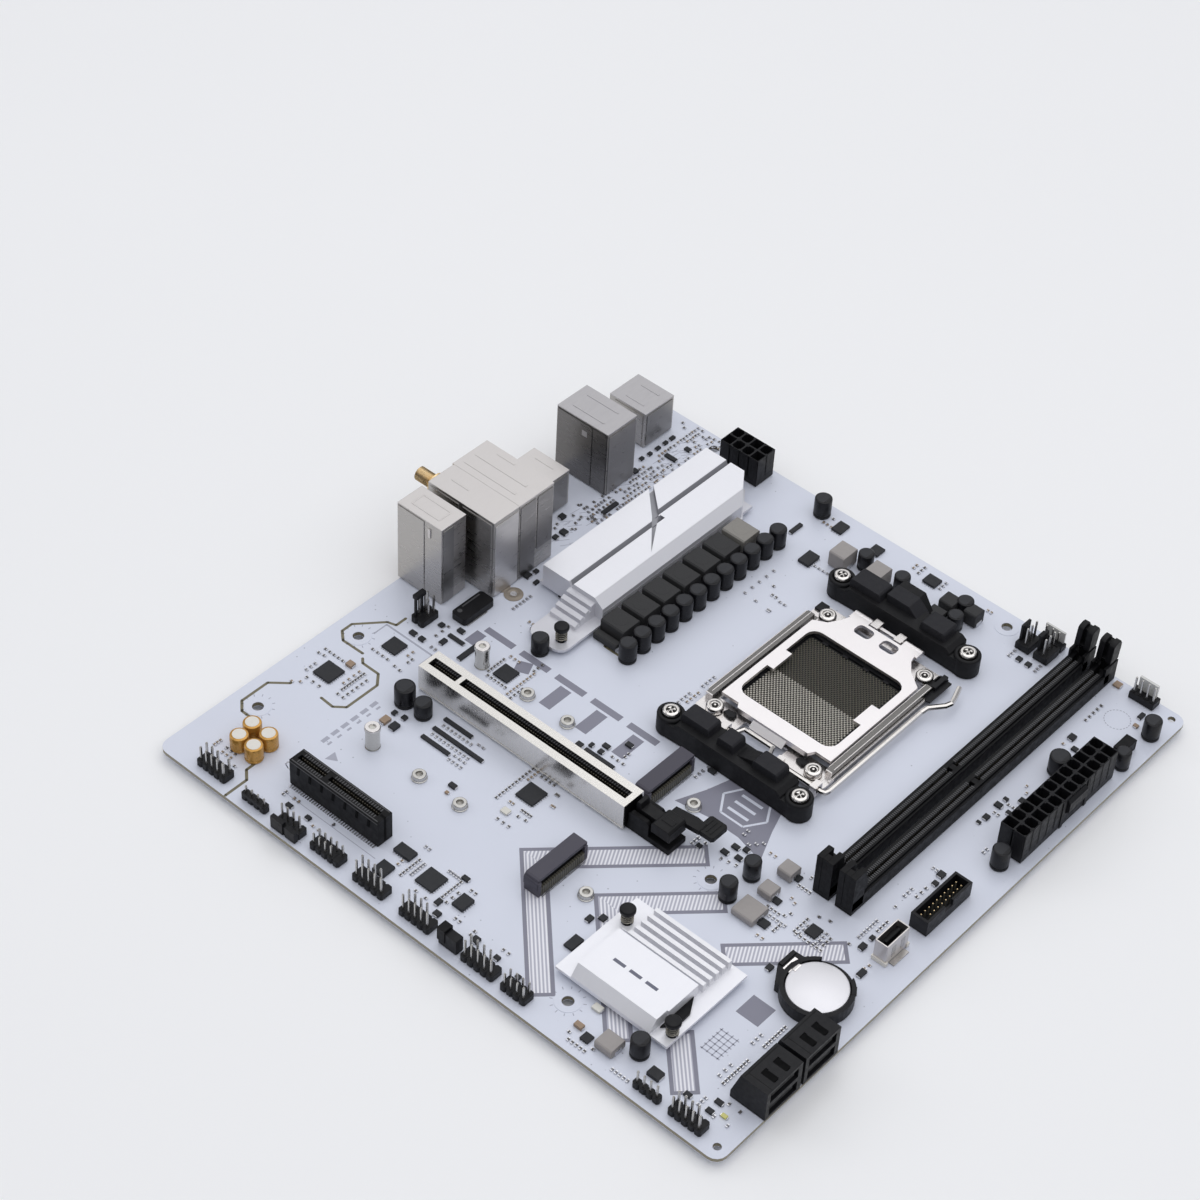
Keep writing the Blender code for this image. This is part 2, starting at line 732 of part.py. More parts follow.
def make_power_connector(name, x, y, columns, rows, height, clip):
    """columns cells along y and rows cells along x, or the other way round by their counts."""
    body = box(x, y, (GAP, height))
    pitch_x = (x[1] - x[0]) / rows
    pitch_y = (y[1] - y[0]) / columns
    cells = []
    for centre_x in grid(x[0] + pitch_x / 2, pitch_x, rows):
        for centre_y in grid(y[0] + pitch_y / 2, pitch_y, columns):
            cells.append(
                box(
                    (centre_x - 1.75, centre_x + 1.75),
                    (centre_y - 1.75, centre_y + 1.75),
                    (3.0, height + 2.0),
                )
            )
    piece(name, "black_plastic", body, [clip], cells)


def make_power_connectors():
    main_clip = prism(
        [(231.8, 5.0), (233.4, 6.4), (233.4, 10.6), (232.4, 11.6), (231.8, 11.6)],
        (176.0, 186.0),
        "y",
    )
    make_power_connector(
        "main_power_connector", (222.3, 232.0), (152.6, 204.2), 12, 2, 12.8, main_clip
    )
    cpu_clip = prism(
        [(241.4, 5.0), (242.9, 6.4), (242.9, 10.4), (242.0, 11.4), (241.4, 11.4)],
        (45.6, 51.6),
        "x",
    )
    make_power_connector(
        "processor_power_connector", (39.9, 57.3), (231.9, 241.6), 2, 4, 12.3, cpu_clip
    )


def make_storage_connectors():
    profile = [
        (222.8, GAP),
        (FRONT_FACE, GAP),
        (FRONT_FACE, 12.6),
        (225.8, 12.6),
        (222.8, 3.2),
    ]
    for number, low_y in enumerate((20.4, 38.1), 1):
        body = prism(profile, (low_y, low_y + 16.3), "y")
        cuts = []
        for low_z in (1.4, 7.4):
            opening = box((228.0, 240.0), (low_y + 1.6, low_y + 14.4), (low_z, low_z + 4.1))
            cuts.append(opening)
        for slot_y in (low_y + 4.8, low_y + 10.3):
            cuts.append(box((229.3, 234.6), (slot_y, slot_y + 1.7), (11.8, 14.0)))
            cuts.append(box((229.3, 230.4), (slot_y + 1.6, slot_y + 2.4), (11.8, 14.0)))
        tongues = []
        for low_z in (2.8, 8.8):
            tongue = box((227.0, 234.0), (low_y + 2.6, low_y + 13.4), (low_z, low_z + 1.2))
            tongues.append(tongue)
        target = piece(f"storage_connector_{number}", "black_plastic", body, cut=cuts)
        fill_in(target, "black_plastic", tongues)


def make_front_headers():
    body = box((221.6, 228.3), (108.0, 131.0), (GAP, 6.6))
    hollow = box((222.5, 227.4), (108.9, 130.1), (1.4, 8.0))
    key = box((226.8, 229.0), (117.0, 121.0), (4.2, 8.0))
    piece("front_usb_header", "black_plastic", body, cut=[hollow, key])
    shell = prism(rounded_rectangle((221.2, 226.2), (90.0, 101.4), 0.8, 2), (GAP, 9.0))
    mouth = prism(rounded_rectangle((221.7, 225.7), (90.5, 100.9), 0.5, 2), (3.0, 10.0))
    tongue = box((223.2, 224.2), (92.0, 99.4), (2.0, 7.6))
    target = piece("front_usb_c_connector", "bright_steel", shell, cut=[mouth])
    fill_in(target, "bright_steel", [tongue])


def make_coin_cell():
    centre = (218.2, 66.6)
    holder = rod(centre, 11.7, (GAP, 4.9), sides=40)
    neck_outline = [(203.6, 65.4), (207.4, 59.4), (209.5, 59.4), (209.5, 73.2), (203.6, 72.8)]
    neck = prism(neck_outline, (GAP, 4.4))
    cuts = [
        rod(centre, 10.3, (1.2, 6.0), sides=40),
        box((212.0, 224.0), (75.0, 79.5), (3.0, 6.0)),
    ]
    piece("coin_cell_holder", "black_plastic", holder, [neck], cuts, smooth=True)
    cell = rod(centre, 10.0, (1.5, 4.4), sides=40)
    rim = rod(centre, 9.3, (4.3, 4.8), sides=40)
    piece("coin_cell", "bright_steel", cell, [rim], smooth=True)


def make_fan_headers():
    places = (
        ("fan_header_1", (172.8, 178.5), (231.0, 238.6), "y"),
        ("fan_header_2", (180.3, 186.1), (231.0, 238.6), "y"),
        ("fan_header_3", (214.6, 224.4), (238.6, 243.2), "x"),
    )
    for name, x, y, run in places:
        base = box(x, y, (GAP, 3.0))
        if run == "y":
            tab = box((x[0] + 0.2, x[0] + 1.3), (y[0] + 1.8, y[0] + 6.4), (2.0, 9.6))
            pins = [
                box((x[0] + 3.0, x[0] + 3.64), (py, py + 0.64), (2.0, 10.4))
                for py in grid(y[0] + 1.0, 2.54, 3)
            ]
        else:
            tab = box((x[0] + 1.2, x[1] - 1.2), (y[1] - 1.3, y[1] - 0.3), (2.0, 8.4))
            pins = [
                box((px, px + 0.64), (y[0] + 1.0, y[0] + 1.64), (2.0, 9.6))
                for px in grid(x[0] + 0.8, 2.54, 4)
            ]
        piece(name, "black_plastic", base, [tab, *pins])


# --- Rear connectors ----------------------------------------------------------------------


def make_rear_stacks():
    audio_y = (109.9, 121.5)
    audio_mid = sum(audio_y) / 2
    jacks = [rod((audio_mid, z), 2.0, (-3.0, 13.0), "x", 16) for z in (6.6, 17.3, 28.0)]
    barrels = [rod((audio_mid, z), 3.3, (-2.6, 2.0), "x", 20) for z in (6.6, 17.3, 28.0)]
    body = box((-1.0, 19.6), audio_y, (GAP, STACK_HEIGHT))
    piece("audio_stack", "shield_steel", body, barrels, jacks)

    body = box((-1.0, 29.6), (124.6, 136.6), (GAP, STACK_HEIGHT))
    piece("antenna_block", "shield_steel", body)

    body = box((-1.6, 29.6), (137.0, 153.9), (GAP, STACK_HEIGHT))
    cuts = [
        box((-4.0, 12.0), (139.4, 151.5), (21.6, 30.4)),
        box((-4.0, 12.0), (142.6, 148.3), (28.0, 32.4)),
    ]
    cuts += usb_cuts((145.45, 145.45), (4.2, 12.2), -1.6)
    piece("network_stack", "shield_steel", body, cut=cuts)

    body = box((-1.6, 15.2), (164.0, 178.4), (GAP, 16.0))
    cuts = usb_cuts((171.2,) * 2, (1.6, 8.9), -1.6)
    piece("middle_usb_stack", "shield_steel", body, cut=cuts)

    body = prism(
        rounded_rectangle((190.6, 205.8), (GAP, 28.4), 1.0, 2), (-2.0, 21.8), "x"
    )
    cuts = [
        box((-4.0, 10.0), (191.8, 204.6), (4.4, 9.4)),
        box((-4.0, 10.0), (190.9 + 0.9, 204.7), (17.6, 22.8)),
    ]
    piece("display_stack", "shield_steel", body, cut=cuts)

    body = box((-2.6, 14.6), (219.8, 235.2), (GAP, 16.0))
    cuts = usb_cuts((227.5,) * 2, (1.6, 8.9), -2.6)
    piece("upper_usb_stack", "shield_steel", body, cut=cuts)


def usb_cuts(centres, bottoms, face):
    """Rectangular sockets, each with a tongue left standing under its upper face."""
    cuts = []
    for centre, bottom in zip(centres, bottoms):
        outline = [
            (centre - 6.3, bottom),
            (centre + 6.3, bottom),
            (centre + 6.3, bottom + 5.2),
            (centre + 5.6, bottom + 5.2),
            (centre + 5.6, bottom + 2.7),
            (centre - 5.6, bottom + 2.7),
            (centre - 5.6, bottom + 5.2),
            (centre - 6.3, bottom + 5.2),
        ]
        cuts.append(prism(outline, (face - 2.0, face + 12.0), "x"))
        lip = ((centre - 6.0, centre + 6.0), (bottom + 2.4, bottom + 5.2))
        cuts.append(box((face - 2.0, face + 1.2), *lip))
    return cuts


def make_antenna_connectors():
    for number, z in enumerate((14.8, 28.0), 1):
        barrel = rod((130.6, z), 3.1, (ANTENNA_TIP, -1.4), "x", 20)
        collar = rod((130.6, z), 4.4, (-3.4, -1.3), "x", 6)
        bore = rod((130.6, z), 2.2, (ANTENNA_TIP - 1.0, ANTENNA_TIP + 6.0), "x", 16)
        pin = rod((130.6, z), 0.6, (ANTENNA_TIP + 1.0, -4.0), "x", 8)
        target = piece(
            f"antenna_connector_{number}", "gold_plate", barrel, [collar], [bore], smooth=True
        )
        fill_in(target, "gold_plate", [pin])


# --- Pin headers --------------------------------------------------------------------------


def header(x, y, columns, rows, top, base_top=2.6):
    """A base block with square pins, as a list of shapes."""
    shapes = [box(x, y, (GAP, base_top))]
    pitch_x = (x[1] - x[0]) / columns
    pitch_y = (y[1] - y[0]) / rows
    for centre_x in grid(x[0] + pitch_x / 2, pitch_x, columns):
        for centre_y in grid(y[0] + pitch_y / 2, pitch_y, rows):
            shapes.append(
                box(
                    (centre_x - 0.32, centre_x + 0.32),
                    (centre_y - 0.32, centre_y + 0.32),
                    (base_top - 0.6, top),
                )
            )
    return shapes


def make_pin_headers():
    front = header((213.4, 226.0), (3.0, 8.0), 5, 2, 8.6)
    piece("front_panel_header", "black_plastic", front[0], front[1:])
    audio = header((15.0, 27.8), (3.0, 8.0), 5, 2, 8.6)
    piece("audio_header", "black_plastic", audio[0], audio[1:])
    tall = header((17.4, 23.2), (97.2, 105.4), 1, 4, 12.4)
    piece("tall_header", "black_plastic", tall[0], tall[1:])


def make_wireless_socket():
    outline = rounded_rectangle((26.0, 33.2), (107.6, 122.6), 1.8, 2)
    slot = box((27.0, 28.2), (112.0, 120.6), (1.4, 9.0))
    piece("wireless_card_socket", "black_plastic", prism(outline, (GAP, 3.2)), cut=[slot])


def main():
    clear_scene()
    make_collections()
    make_materials()
    make_board()
    make_backplate()
    make_socket_housing()
    make_socket_frame()
    make_load_plate()
    make_load_lever()
    make_frame_screws()
    make_cooler_brackets()
    make_bracket_screws()
    make_memory_slots()
    make_long_slot()
    make_retainer()
    make_short_slot()
    make_card_sockets()
    make_regulator_heatsink()
    make_push_pins()
    make_chipset()
    make_regulator_parts()
    make_power_connectors()
    make_storage_connectors()
    make_front_headers()
    make_coin_cell()
    make_fan_headers()
    make_rear_stacks()
    make_antenna_connectors()
    make_pin_headers()
    make_wireless_socket()


main()
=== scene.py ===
"""The looks of the short micro-ATX motherboard, built round its CAD frame.

Places on the board are in millimetres, as in the CAD: x from the rear edge, y from the bottom
edge, z up from the component side.
"""

import json
import math
import random

import bmesh
import bpy
from mathutils import Matrix, Vector


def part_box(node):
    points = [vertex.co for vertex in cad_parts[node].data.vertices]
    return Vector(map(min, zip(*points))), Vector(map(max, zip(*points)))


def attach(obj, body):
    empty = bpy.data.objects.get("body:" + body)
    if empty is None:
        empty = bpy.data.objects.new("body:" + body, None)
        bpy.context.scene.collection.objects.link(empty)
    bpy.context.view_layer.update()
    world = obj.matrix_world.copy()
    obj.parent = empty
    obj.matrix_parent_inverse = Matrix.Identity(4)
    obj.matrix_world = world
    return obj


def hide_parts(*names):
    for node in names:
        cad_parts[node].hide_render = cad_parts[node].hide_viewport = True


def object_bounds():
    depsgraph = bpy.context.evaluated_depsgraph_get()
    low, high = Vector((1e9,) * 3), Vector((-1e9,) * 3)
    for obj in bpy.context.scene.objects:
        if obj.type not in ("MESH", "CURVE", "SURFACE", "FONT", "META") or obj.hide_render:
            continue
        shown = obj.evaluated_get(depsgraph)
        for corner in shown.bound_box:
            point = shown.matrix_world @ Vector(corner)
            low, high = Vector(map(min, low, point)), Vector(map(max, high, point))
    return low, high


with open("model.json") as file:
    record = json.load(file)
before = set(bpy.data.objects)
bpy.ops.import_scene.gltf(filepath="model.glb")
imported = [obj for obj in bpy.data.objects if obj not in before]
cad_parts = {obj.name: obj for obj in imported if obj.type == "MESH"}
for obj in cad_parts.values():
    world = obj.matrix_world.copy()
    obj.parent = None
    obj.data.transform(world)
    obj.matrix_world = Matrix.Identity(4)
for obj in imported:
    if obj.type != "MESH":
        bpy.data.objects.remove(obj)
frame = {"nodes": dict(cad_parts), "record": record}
CAD_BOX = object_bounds()

MM = 0.001
NODES = frame["nodes"]
BOARD_LOW, BOARD_HIGH = (Vector(corner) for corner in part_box("circuit_board"))
PAD_PROUD = 0.12  # how far the board's pads stand over its mask, mm
ORIGIN = Vector((BOARD_LOW.x, BOARD_LOW.y, BOARD_HIGH.z - PAD_PROUD * MM))
LOOK = {}
RELIEF_DEPTH = 0.0001  # metres
ZONE_EDGE = 0.03  # half the width of a zone's soft edge, mm
WAVE_LENGTH = 0.314  # one wave of Blender's wave texture at scale 1, metres
SHARP_ANGLE = math.radians(35)
BEVEL_ANGLE = math.radians(38)


def at(x, y, z):
    """A place on the board as a point of the scene."""
    return ORIGIN + Vector((x, y, z)) * MM


def node_limits(node):
    """A CAD node's limits in board millimetres: three (low, high) pairs."""
    low, high = (Vector(corner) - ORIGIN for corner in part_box(node))
    return [(low[axis] / MM, high[axis] / MM) for axis in range(3)]


# --- Materials ----------------------------------------------------------------------------


def new_material(name):
    """A material entered among the looks: its node tree and its main shader."""
    material = bpy.data.materials.new(name)
    material.use_nodes = True
    tree = material.node_tree
    LOOK[name] = material
    return tree, tree.nodes["Principled BSDF"]


def connect(tree, made, inputs):
    """Fills a node's inputs, each from another node's output or with a plain value."""
    for key, value in inputs.items():
        if isinstance(value, bpy.types.NodeSocket):
            tree.links.new(value, made.inputs[key])
        else:
            made.inputs[key].default_value = value


def node(tree, kind, inputs=None, **settings):
    """A new node of a material or world, with its settings and inputs."""
    made = tree.nodes.new(kind)
    for key, value in settings.items():
        setattr(made, key, value)
    connect(tree, made, inputs or {})
    return made


def blend(tree, factor, low, high):
    """The mix of two colours, low where the factor is 0 and high where it is 1."""
    return node(tree, "ShaderNodeMix", {"Factor": factor, 6: low, 7: high},
                data_type="RGBA").outputs[2]


def srgb(red, green, blue):
    """A display colour of 0 to 255 as a linear one."""
    levels = (red / 255, green / 255, blue / 255)
    return tuple(v / 12.92 if v <= 0.04045 else ((v + 0.055) / 1.055) ** 2.4 for v in levels)


def tinted(colour, factor):
    """A linear colour made lighter or darker, with its alpha."""
    return (*(min(1.0, channel * factor) for channel in colour), 1.0)


def finish(name, colour, rough=0.5, metal=0.0, mottle=0.1, scale=600.0, stretch=(1, 1, 1),
           bump=0.05, grain=3000.0, rough_spread=0.1, coat=0.0, level=0.5):
    """A surface whose colour, roughness and relief all vary with noise."""
    tree, shader = new_material(name)
    place = node(tree, "ShaderNodeTexCoord")
    mapped = node(tree, "ShaderNodeMapping", {0: place.outputs["Object"], "Scale": stretch})
    broad = node(tree, "ShaderNodeTexNoise", {"Vector": mapped.outputs[0], "Scale": scale,
                                              "Detail": 4.0})
    fine = node(tree, "ShaderNodeTexNoise", {"Vector": mapped.outputs[0], "Scale": grain,
                                             "Detail": 2.0})
    base = srgb(*colour)
    mix = blend(tree, broad.outputs["Fac"], tinted(base, 1 - mottle), tinted(base, 1 + mottle))
    spread = node(tree, "ShaderNodeMapRange", {0: broad.outputs["Fac"], 1: 0.3, 2: 0.7,
                                               3: max(0.02, rough - rough_spread),
                                               4: min(1.0, rough + rough_spread)})
    relief = node(tree, "ShaderNodeBump", {"Height": fine.outputs["Fac"], "Strength": bump,
                                           "Distance": RELIEF_DEPTH})
    connect(tree, shader, {"Base Color": mix, "Roughness": spread.outputs[0],
                           "Normal": relief.outputs[0], "Metallic": metal,
                           "Coat Weight": coat, "Specular IOR Level": level})


def zone(name, colour, *limits):
    """Repaints part of a look; limits are (axis, low, high) in board millimetres."""
    tree = LOOK[name].node_tree
    shader = tree.nodes["Principled BSDF"]
    place = node(tree, "ShaderNodeTexCoord")
    parts = node(tree, "ShaderNodeSeparateXYZ", {0: place.outputs["Object"]})
    inside = None
    for axis, low, high in limits:
        start = ORIGIN["XYZ".index(axis)]
        for edge, before, after in ((low, 0.0, 1.0), (high, 1.0, 0.0)):
            level = start + edge * MM
            step = node(tree, "ShaderNodeMapRange", {
                0: parts.outputs[axis], 3: before, 4: after, 1: level - ZONE_EDGE * MM,
                2: level + ZONE_EDGE * MM})
            if inside:
                step = node(tree, "ShaderNodeMath", {0: inside.outputs[0],
                                                     1: step.outputs[0]},
                            operation="MULTIPLY")
            inside = step
    old = shader.inputs["Base Color"].links[0].from_socket
    painted = blend(tree, inside.outputs[0], old, tinted(srgb(*colour), 1.0))
    connect(tree, shader, {"Base Color": painted})


def board_finish():
    """Pale solder mask, a little uneven, with patches of small plated holes."""
    tree, shader = new_material("board_mask")
    place = node(tree, "ShaderNodeTexCoord")
    broad = node(tree, "ShaderNodeTexNoise", {"Vector": place.outputs["Object"], "Scale": 35.0,
                                              "Detail": 3.0})
    cells = node(tree, "ShaderNodeTexVoronoi", {"Vector": place.outputs["Object"],
                                                "Scale": 260.0, "Randomness": 0.9})
    dots = node(tree, "ShaderNodeMapRange", {0: cells.outputs["Distance"], 1: 0.055, 2: 0.085,
                                             3: 1.0, 4: 0.0})
    where = node(tree, "ShaderNodeMapRange", {0: broad.outputs["Fac"], 1: 0.50, 2: 0.56,
                                              3: 0.0, 4: 0.55})
    vias = node(tree, "ShaderNodeMath", {0: dots.outputs[0], 1: where.outputs[0]},
                operation="MULTIPLY")
    base = srgb(214, 218, 231)
    tone = blend(tree, broad.outputs["Fac"], tinted(base, 0.97), tinted(base, 1.03))
    pitted = blend(tree, vias.outputs[0], tone, tinted(srgb(120, 122, 135), 1.0))
    relief = node(tree, "ShaderNodeBump", {"Height": vias.outputs[0], "Strength": 0.25,
                                           "Distance": 0.00005}, invert=True)
    spread = node(tree, "ShaderNodeMapRange", {0: broad.outputs["Fac"], 3: 0.36, 4: 0.46})
    connect(tree, shader, {"Base Color": pitted, "Normal": relief.outputs[0],
                           "Roughness": spread.outputs[0], "Coat Weight": 0.15,
                           "Coat Roughness": 0.25})


def striped(name, dark, light, angle, pitch):
    """Printed hatching: straight lines at an angle in degrees, pitch in millimetres."""
    tree, shader = new_material(name)
    place = node(tree, "ShaderNodeTexCoord")
    turned = node(tree, "ShaderNodeMapping", {0: place.outputs["Object"],
                                              "Rotation": (0.0, 0.0, math.radians(angle))})
    lines = node(tree, "ShaderNodeTexWave", {"Vector": turned.outputs[0],
                                             "Scale": WAVE_LENGTH / (pitch * MM)})
    edge = node(tree, "ShaderNodeMapRange", {0: lines.outputs["Fac"], 1: 0.35, 2: 0.65})
    mix = blend(tree, edge.outputs[0], tinted(srgb(*dark), 1.0), tinted(srgb(*light), 1.0))
    connect(tree, shader, {"Base Color": mix, "Roughness": 0.5})


def make_materials():
    """Every look, kind by kind, then the zones in which some are repainted."""
    board_finish()
    for name, angle in (("hatch_across", 152.0), ("hatch_along", 135.0)):
        striped(name, (178, 178, 192), (236, 236, 242), angle, 1.15)
    finish("print_grey", (131, 131, 145), mottle=0.04)
    finish("print_dark", (104, 106, 122), mottle=0.08)
    finish("print_faint", (168, 170, 184), mottle=0.05)
    finish("track_olive", (112, 106, 84), 0.4, mottle=0.12)
    finish("bore_pad", (150, 140, 128), 0.4, 0.3, mottle=0.15)

    finish("black_moulding", (24, 24, 27), 0.45, mottle=0.2, bump=0.2, level=0.22)
    finish("slot_black", (15, 15, 17), mottle=0.2, bump=0.15, level=0.18)
    finish("latch_black", (19, 19, 21), 0.45, mottle=0.15, bump=0.15, level=0.22)
    # A near-black laid over mouths, openings and grooves: painted shade in the holes.
    finish("painted_hole_shade", (4, 4, 5), 0.7, level=0.1)
    finish("slot_rib", (78, 78, 80), 0.45, mottle=0.15, level=0.3)
    finish("bracket_black", (26, 26, 28), 0.55, mottle=0.15, bump=0.35, grain=5000.0, level=0.2)
    finish("bracket_pad", (40, 40, 44), 0.6, mottle=0.12, bump=0.4, grain=6000.0, level=0.2)
    finish("violet_moulding", (76, 74, 84), mottle=0.08, bump=0.15, level=0.3)
    finish("white_moulding", (216, 214, 206), 0.45, mottle=0.05, bump=0.1)
    finish("cap_white", (226, 222, 214), 0.45, mottle=0.04)
    finish("clear_tab", (206, 206, 204), 0.3, mottle=0.04, coat=0.3)
    finish("glow_yellow", (206, 202, 120), 0.3)
    for name, colour in (("port_blue", (44, 92, 170)), ("port_green", (96, 160, 84)),
                         ("port_pink", (206, 128, 142))):
        finish(name, colour, 0.45, mottle=0.06, bump=0.1)

    finish("chip_epoxy", (46, 47, 50), 0.55, mottle=0.08, bump=0.3, grain=6000.0, level=0.25)
    finish("can_sleeve", (20, 20, 24), 0.34, mottle=0.2, bump=0.1, level=0.3)
    finish("can_top", (44, 45, 49), mottle=0.12, bump=0.1, level=0.3)
    finish("ferrite", (56, 56, 57), 0.7, mottle=0.3, scale=900.0, bump=0.6, grain=2500.0,
           level=0.25)
    finish("ferrite_light", (136, 133, 128), 0.7, mottle=0.12, scale=900.0, bump=0.5,
           grain=2500.0)
    finish("ferrite_pale", (156, 151, 149), 0.65, bump=0.4, grain=2500.0)
    finish("ceramic_brown", (150, 128, 108), mottle=0.12)
    finish("passive_dark", (84, 80, 78), mottle=0.3, scale=900.0)
    finish("passive_tan", (142, 124, 104), mottle=0.15)
    finish("passive_grey", (128, 128, 134), mottle=0.15)

    finish("contact_base", (30, 30, 28), 0.6, mottle=0.15)
    # Two copies of the socket's contacts: a darker one, painted shade, for the rows from y 163.6
    # up, and a lighter one, painted light, for the rows below.
    finish("contact_painted_shade", (120, 116, 104), 0.45, 0.4, mottle=0.15)
    finish("contact_painted_light", (206, 201, 191), 0.4, 0.4, mottle=0.12)
    finish("contact_metal", (128, 122, 110), 0.35, 0.9, mottle=0.15)
    finish("contact_tan", (92, 89, 78), 0.5, 0.2, mottle=0.12)
    finish("gold", (226, 200, 156), 0.3, 1.0, mottle=0.08)
    finish("gold_sleeve", (196, 146, 66), 0.3, 0.55, mottle=0.15, coat=0.4)
    finish("solder", (205, 205, 208), 0.28, 1.0, bump=0.3)
    finish("pin_metal", (196, 194, 190), 0.3, 1.0)
    finish("spring_wire", (150, 146, 136), 0.3, 1.0)
    finish("stud_metal", (196, 194, 188), 0.2, 1.0, mottle=0.08, stretch=(1, 1, 6))
    # The screws' recesses are a dark solid: painted shade.
    finish("recess", (34, 33, 31), 0.4, 0.6, mottle=0.2)

    polished = {"metal": 1.0, "mottle": 0.05, "rough_spread": 0.06, "bump": 0.08}
    finish("nickel", (226, 222, 220), 0.22, **polished)
    finish("frame_nickel", (222, 218, 216), 0.26, **polished)
    finish("armour_metal", (222, 219, 214), 0.24, stretch=(12, 1, 1), **polished)
    finish("wire_nickel", (224, 220, 216), 0.16, 1.0, mottle=0.05, rough_spread=0.05)
    finish("plate_nickel", (236, 232, 232), 0.34, 1.0, mottle=0.03, rough_spread=0.05,
           bump=0.1, stretch=(1, 12, 1))
    rolled = {"metal": 1.0, "scale": 200.0, "bump": 0.08, "grain": 700.0}
    finish("tin", (178, 175, 172), 0.3, mottle=0.05, stretch=(1, 1, 8), rough_spread=0.06,
           **rolled)
    # Two copies of the same tin: a lighter one, painted light, for the shields' tops, ribs and
    # catches and for the USB-C shell's walls; a darker one, painted shade, for the shields' +X
    # folds.
    finish("tin_painted_light", (210, 206, 204), 0.4, mottle=0.03, stretch=(8, 1, 1), **rolled)
    finish("tin_painted_shade", (150, 148, 147), 0.36, mottle=0.06, stretch=(1, 1, 8), **rolled)
    painted = {"metal": 0.3, "scale": 200.0, "grain": 1500.0}
    finish("regulator_white", (238, 238, 243), 0.38, mottle=0.03, stretch=(1, 14, 1),
           bump=0.12, **painted)
    finish("chipset_white", (240, 240, 245), 0.4, mottle=0.02, stretch=(14, 1, 1), bump=0.1,
           **painted)
    finish("bare_metal", (190, 190, 194), 0.32, 1.0, scale=300.0, stretch=(1, 14, 1),
           bump=0.2, grain=1500.0)
    finish("cell_steel", (226, 225, 229), 0.42, 0.7, mottle=0.05, scale=120.0,
           rough_spread=0.06, bump=0.12, grain=1800.0)

    # The board's edge: its own core colour, darkened with painted shade.
    zone("board_mask", (134, 126, 104), ("Z", -1.45, -0.12))
    # The regulator heatsink below its top a shade darker: partly the bare metal of its slopes,
    # partly painted shade on its sides and foot.
    zone("regulator_white", (216, 216, 222), ("Z", -5.0, 10.9))
    # Inside its grooves, darker still: painted shade.
    zone("regulator_white", (158, 158, 164), ("Z", 8.0, 10.85), ("X", 38.6, 61.2),
         ("Y", 141.2, 227.0))
    # The chipset heatsink's fins a shade darker than its top: painted shade.
    zone("chipset_white", (236, 236, 240), ("Z", 3.1, 6.4), ("Y", 41.4, 58.0))
    # The socket frame's side rails dark: a painted dark reflection.
    for low, high in ((112.0, 116.9), (163.8, 168.0)):
        zone("frame_nickel", (118, 116, 114), ("X", low, high), ("Y", 138.4, 193.6))
    # The display shield's -Y face darker: painted shade.
    zone("tin", (118, 116, 115), ("X", -3.0, 21.7), ("Y", 189.0, 191.4))
    # The antenna shield's +X face lighter than the other +X folds: painted light.
    zone("tin_painted_shade", (206, 204, 203), ("X", 29.0, 31.0), ("Y", 124.0, 136.9))
    # The tops and catches of the display and upper USB shields toned down: painted shade.
    zone("tin_painted_light", (184, 182, 184), ("X", -4.0, 23.0), ("Y", 189.0, 237.0))


# --- Building blocks ----------------------------------------------------------------------


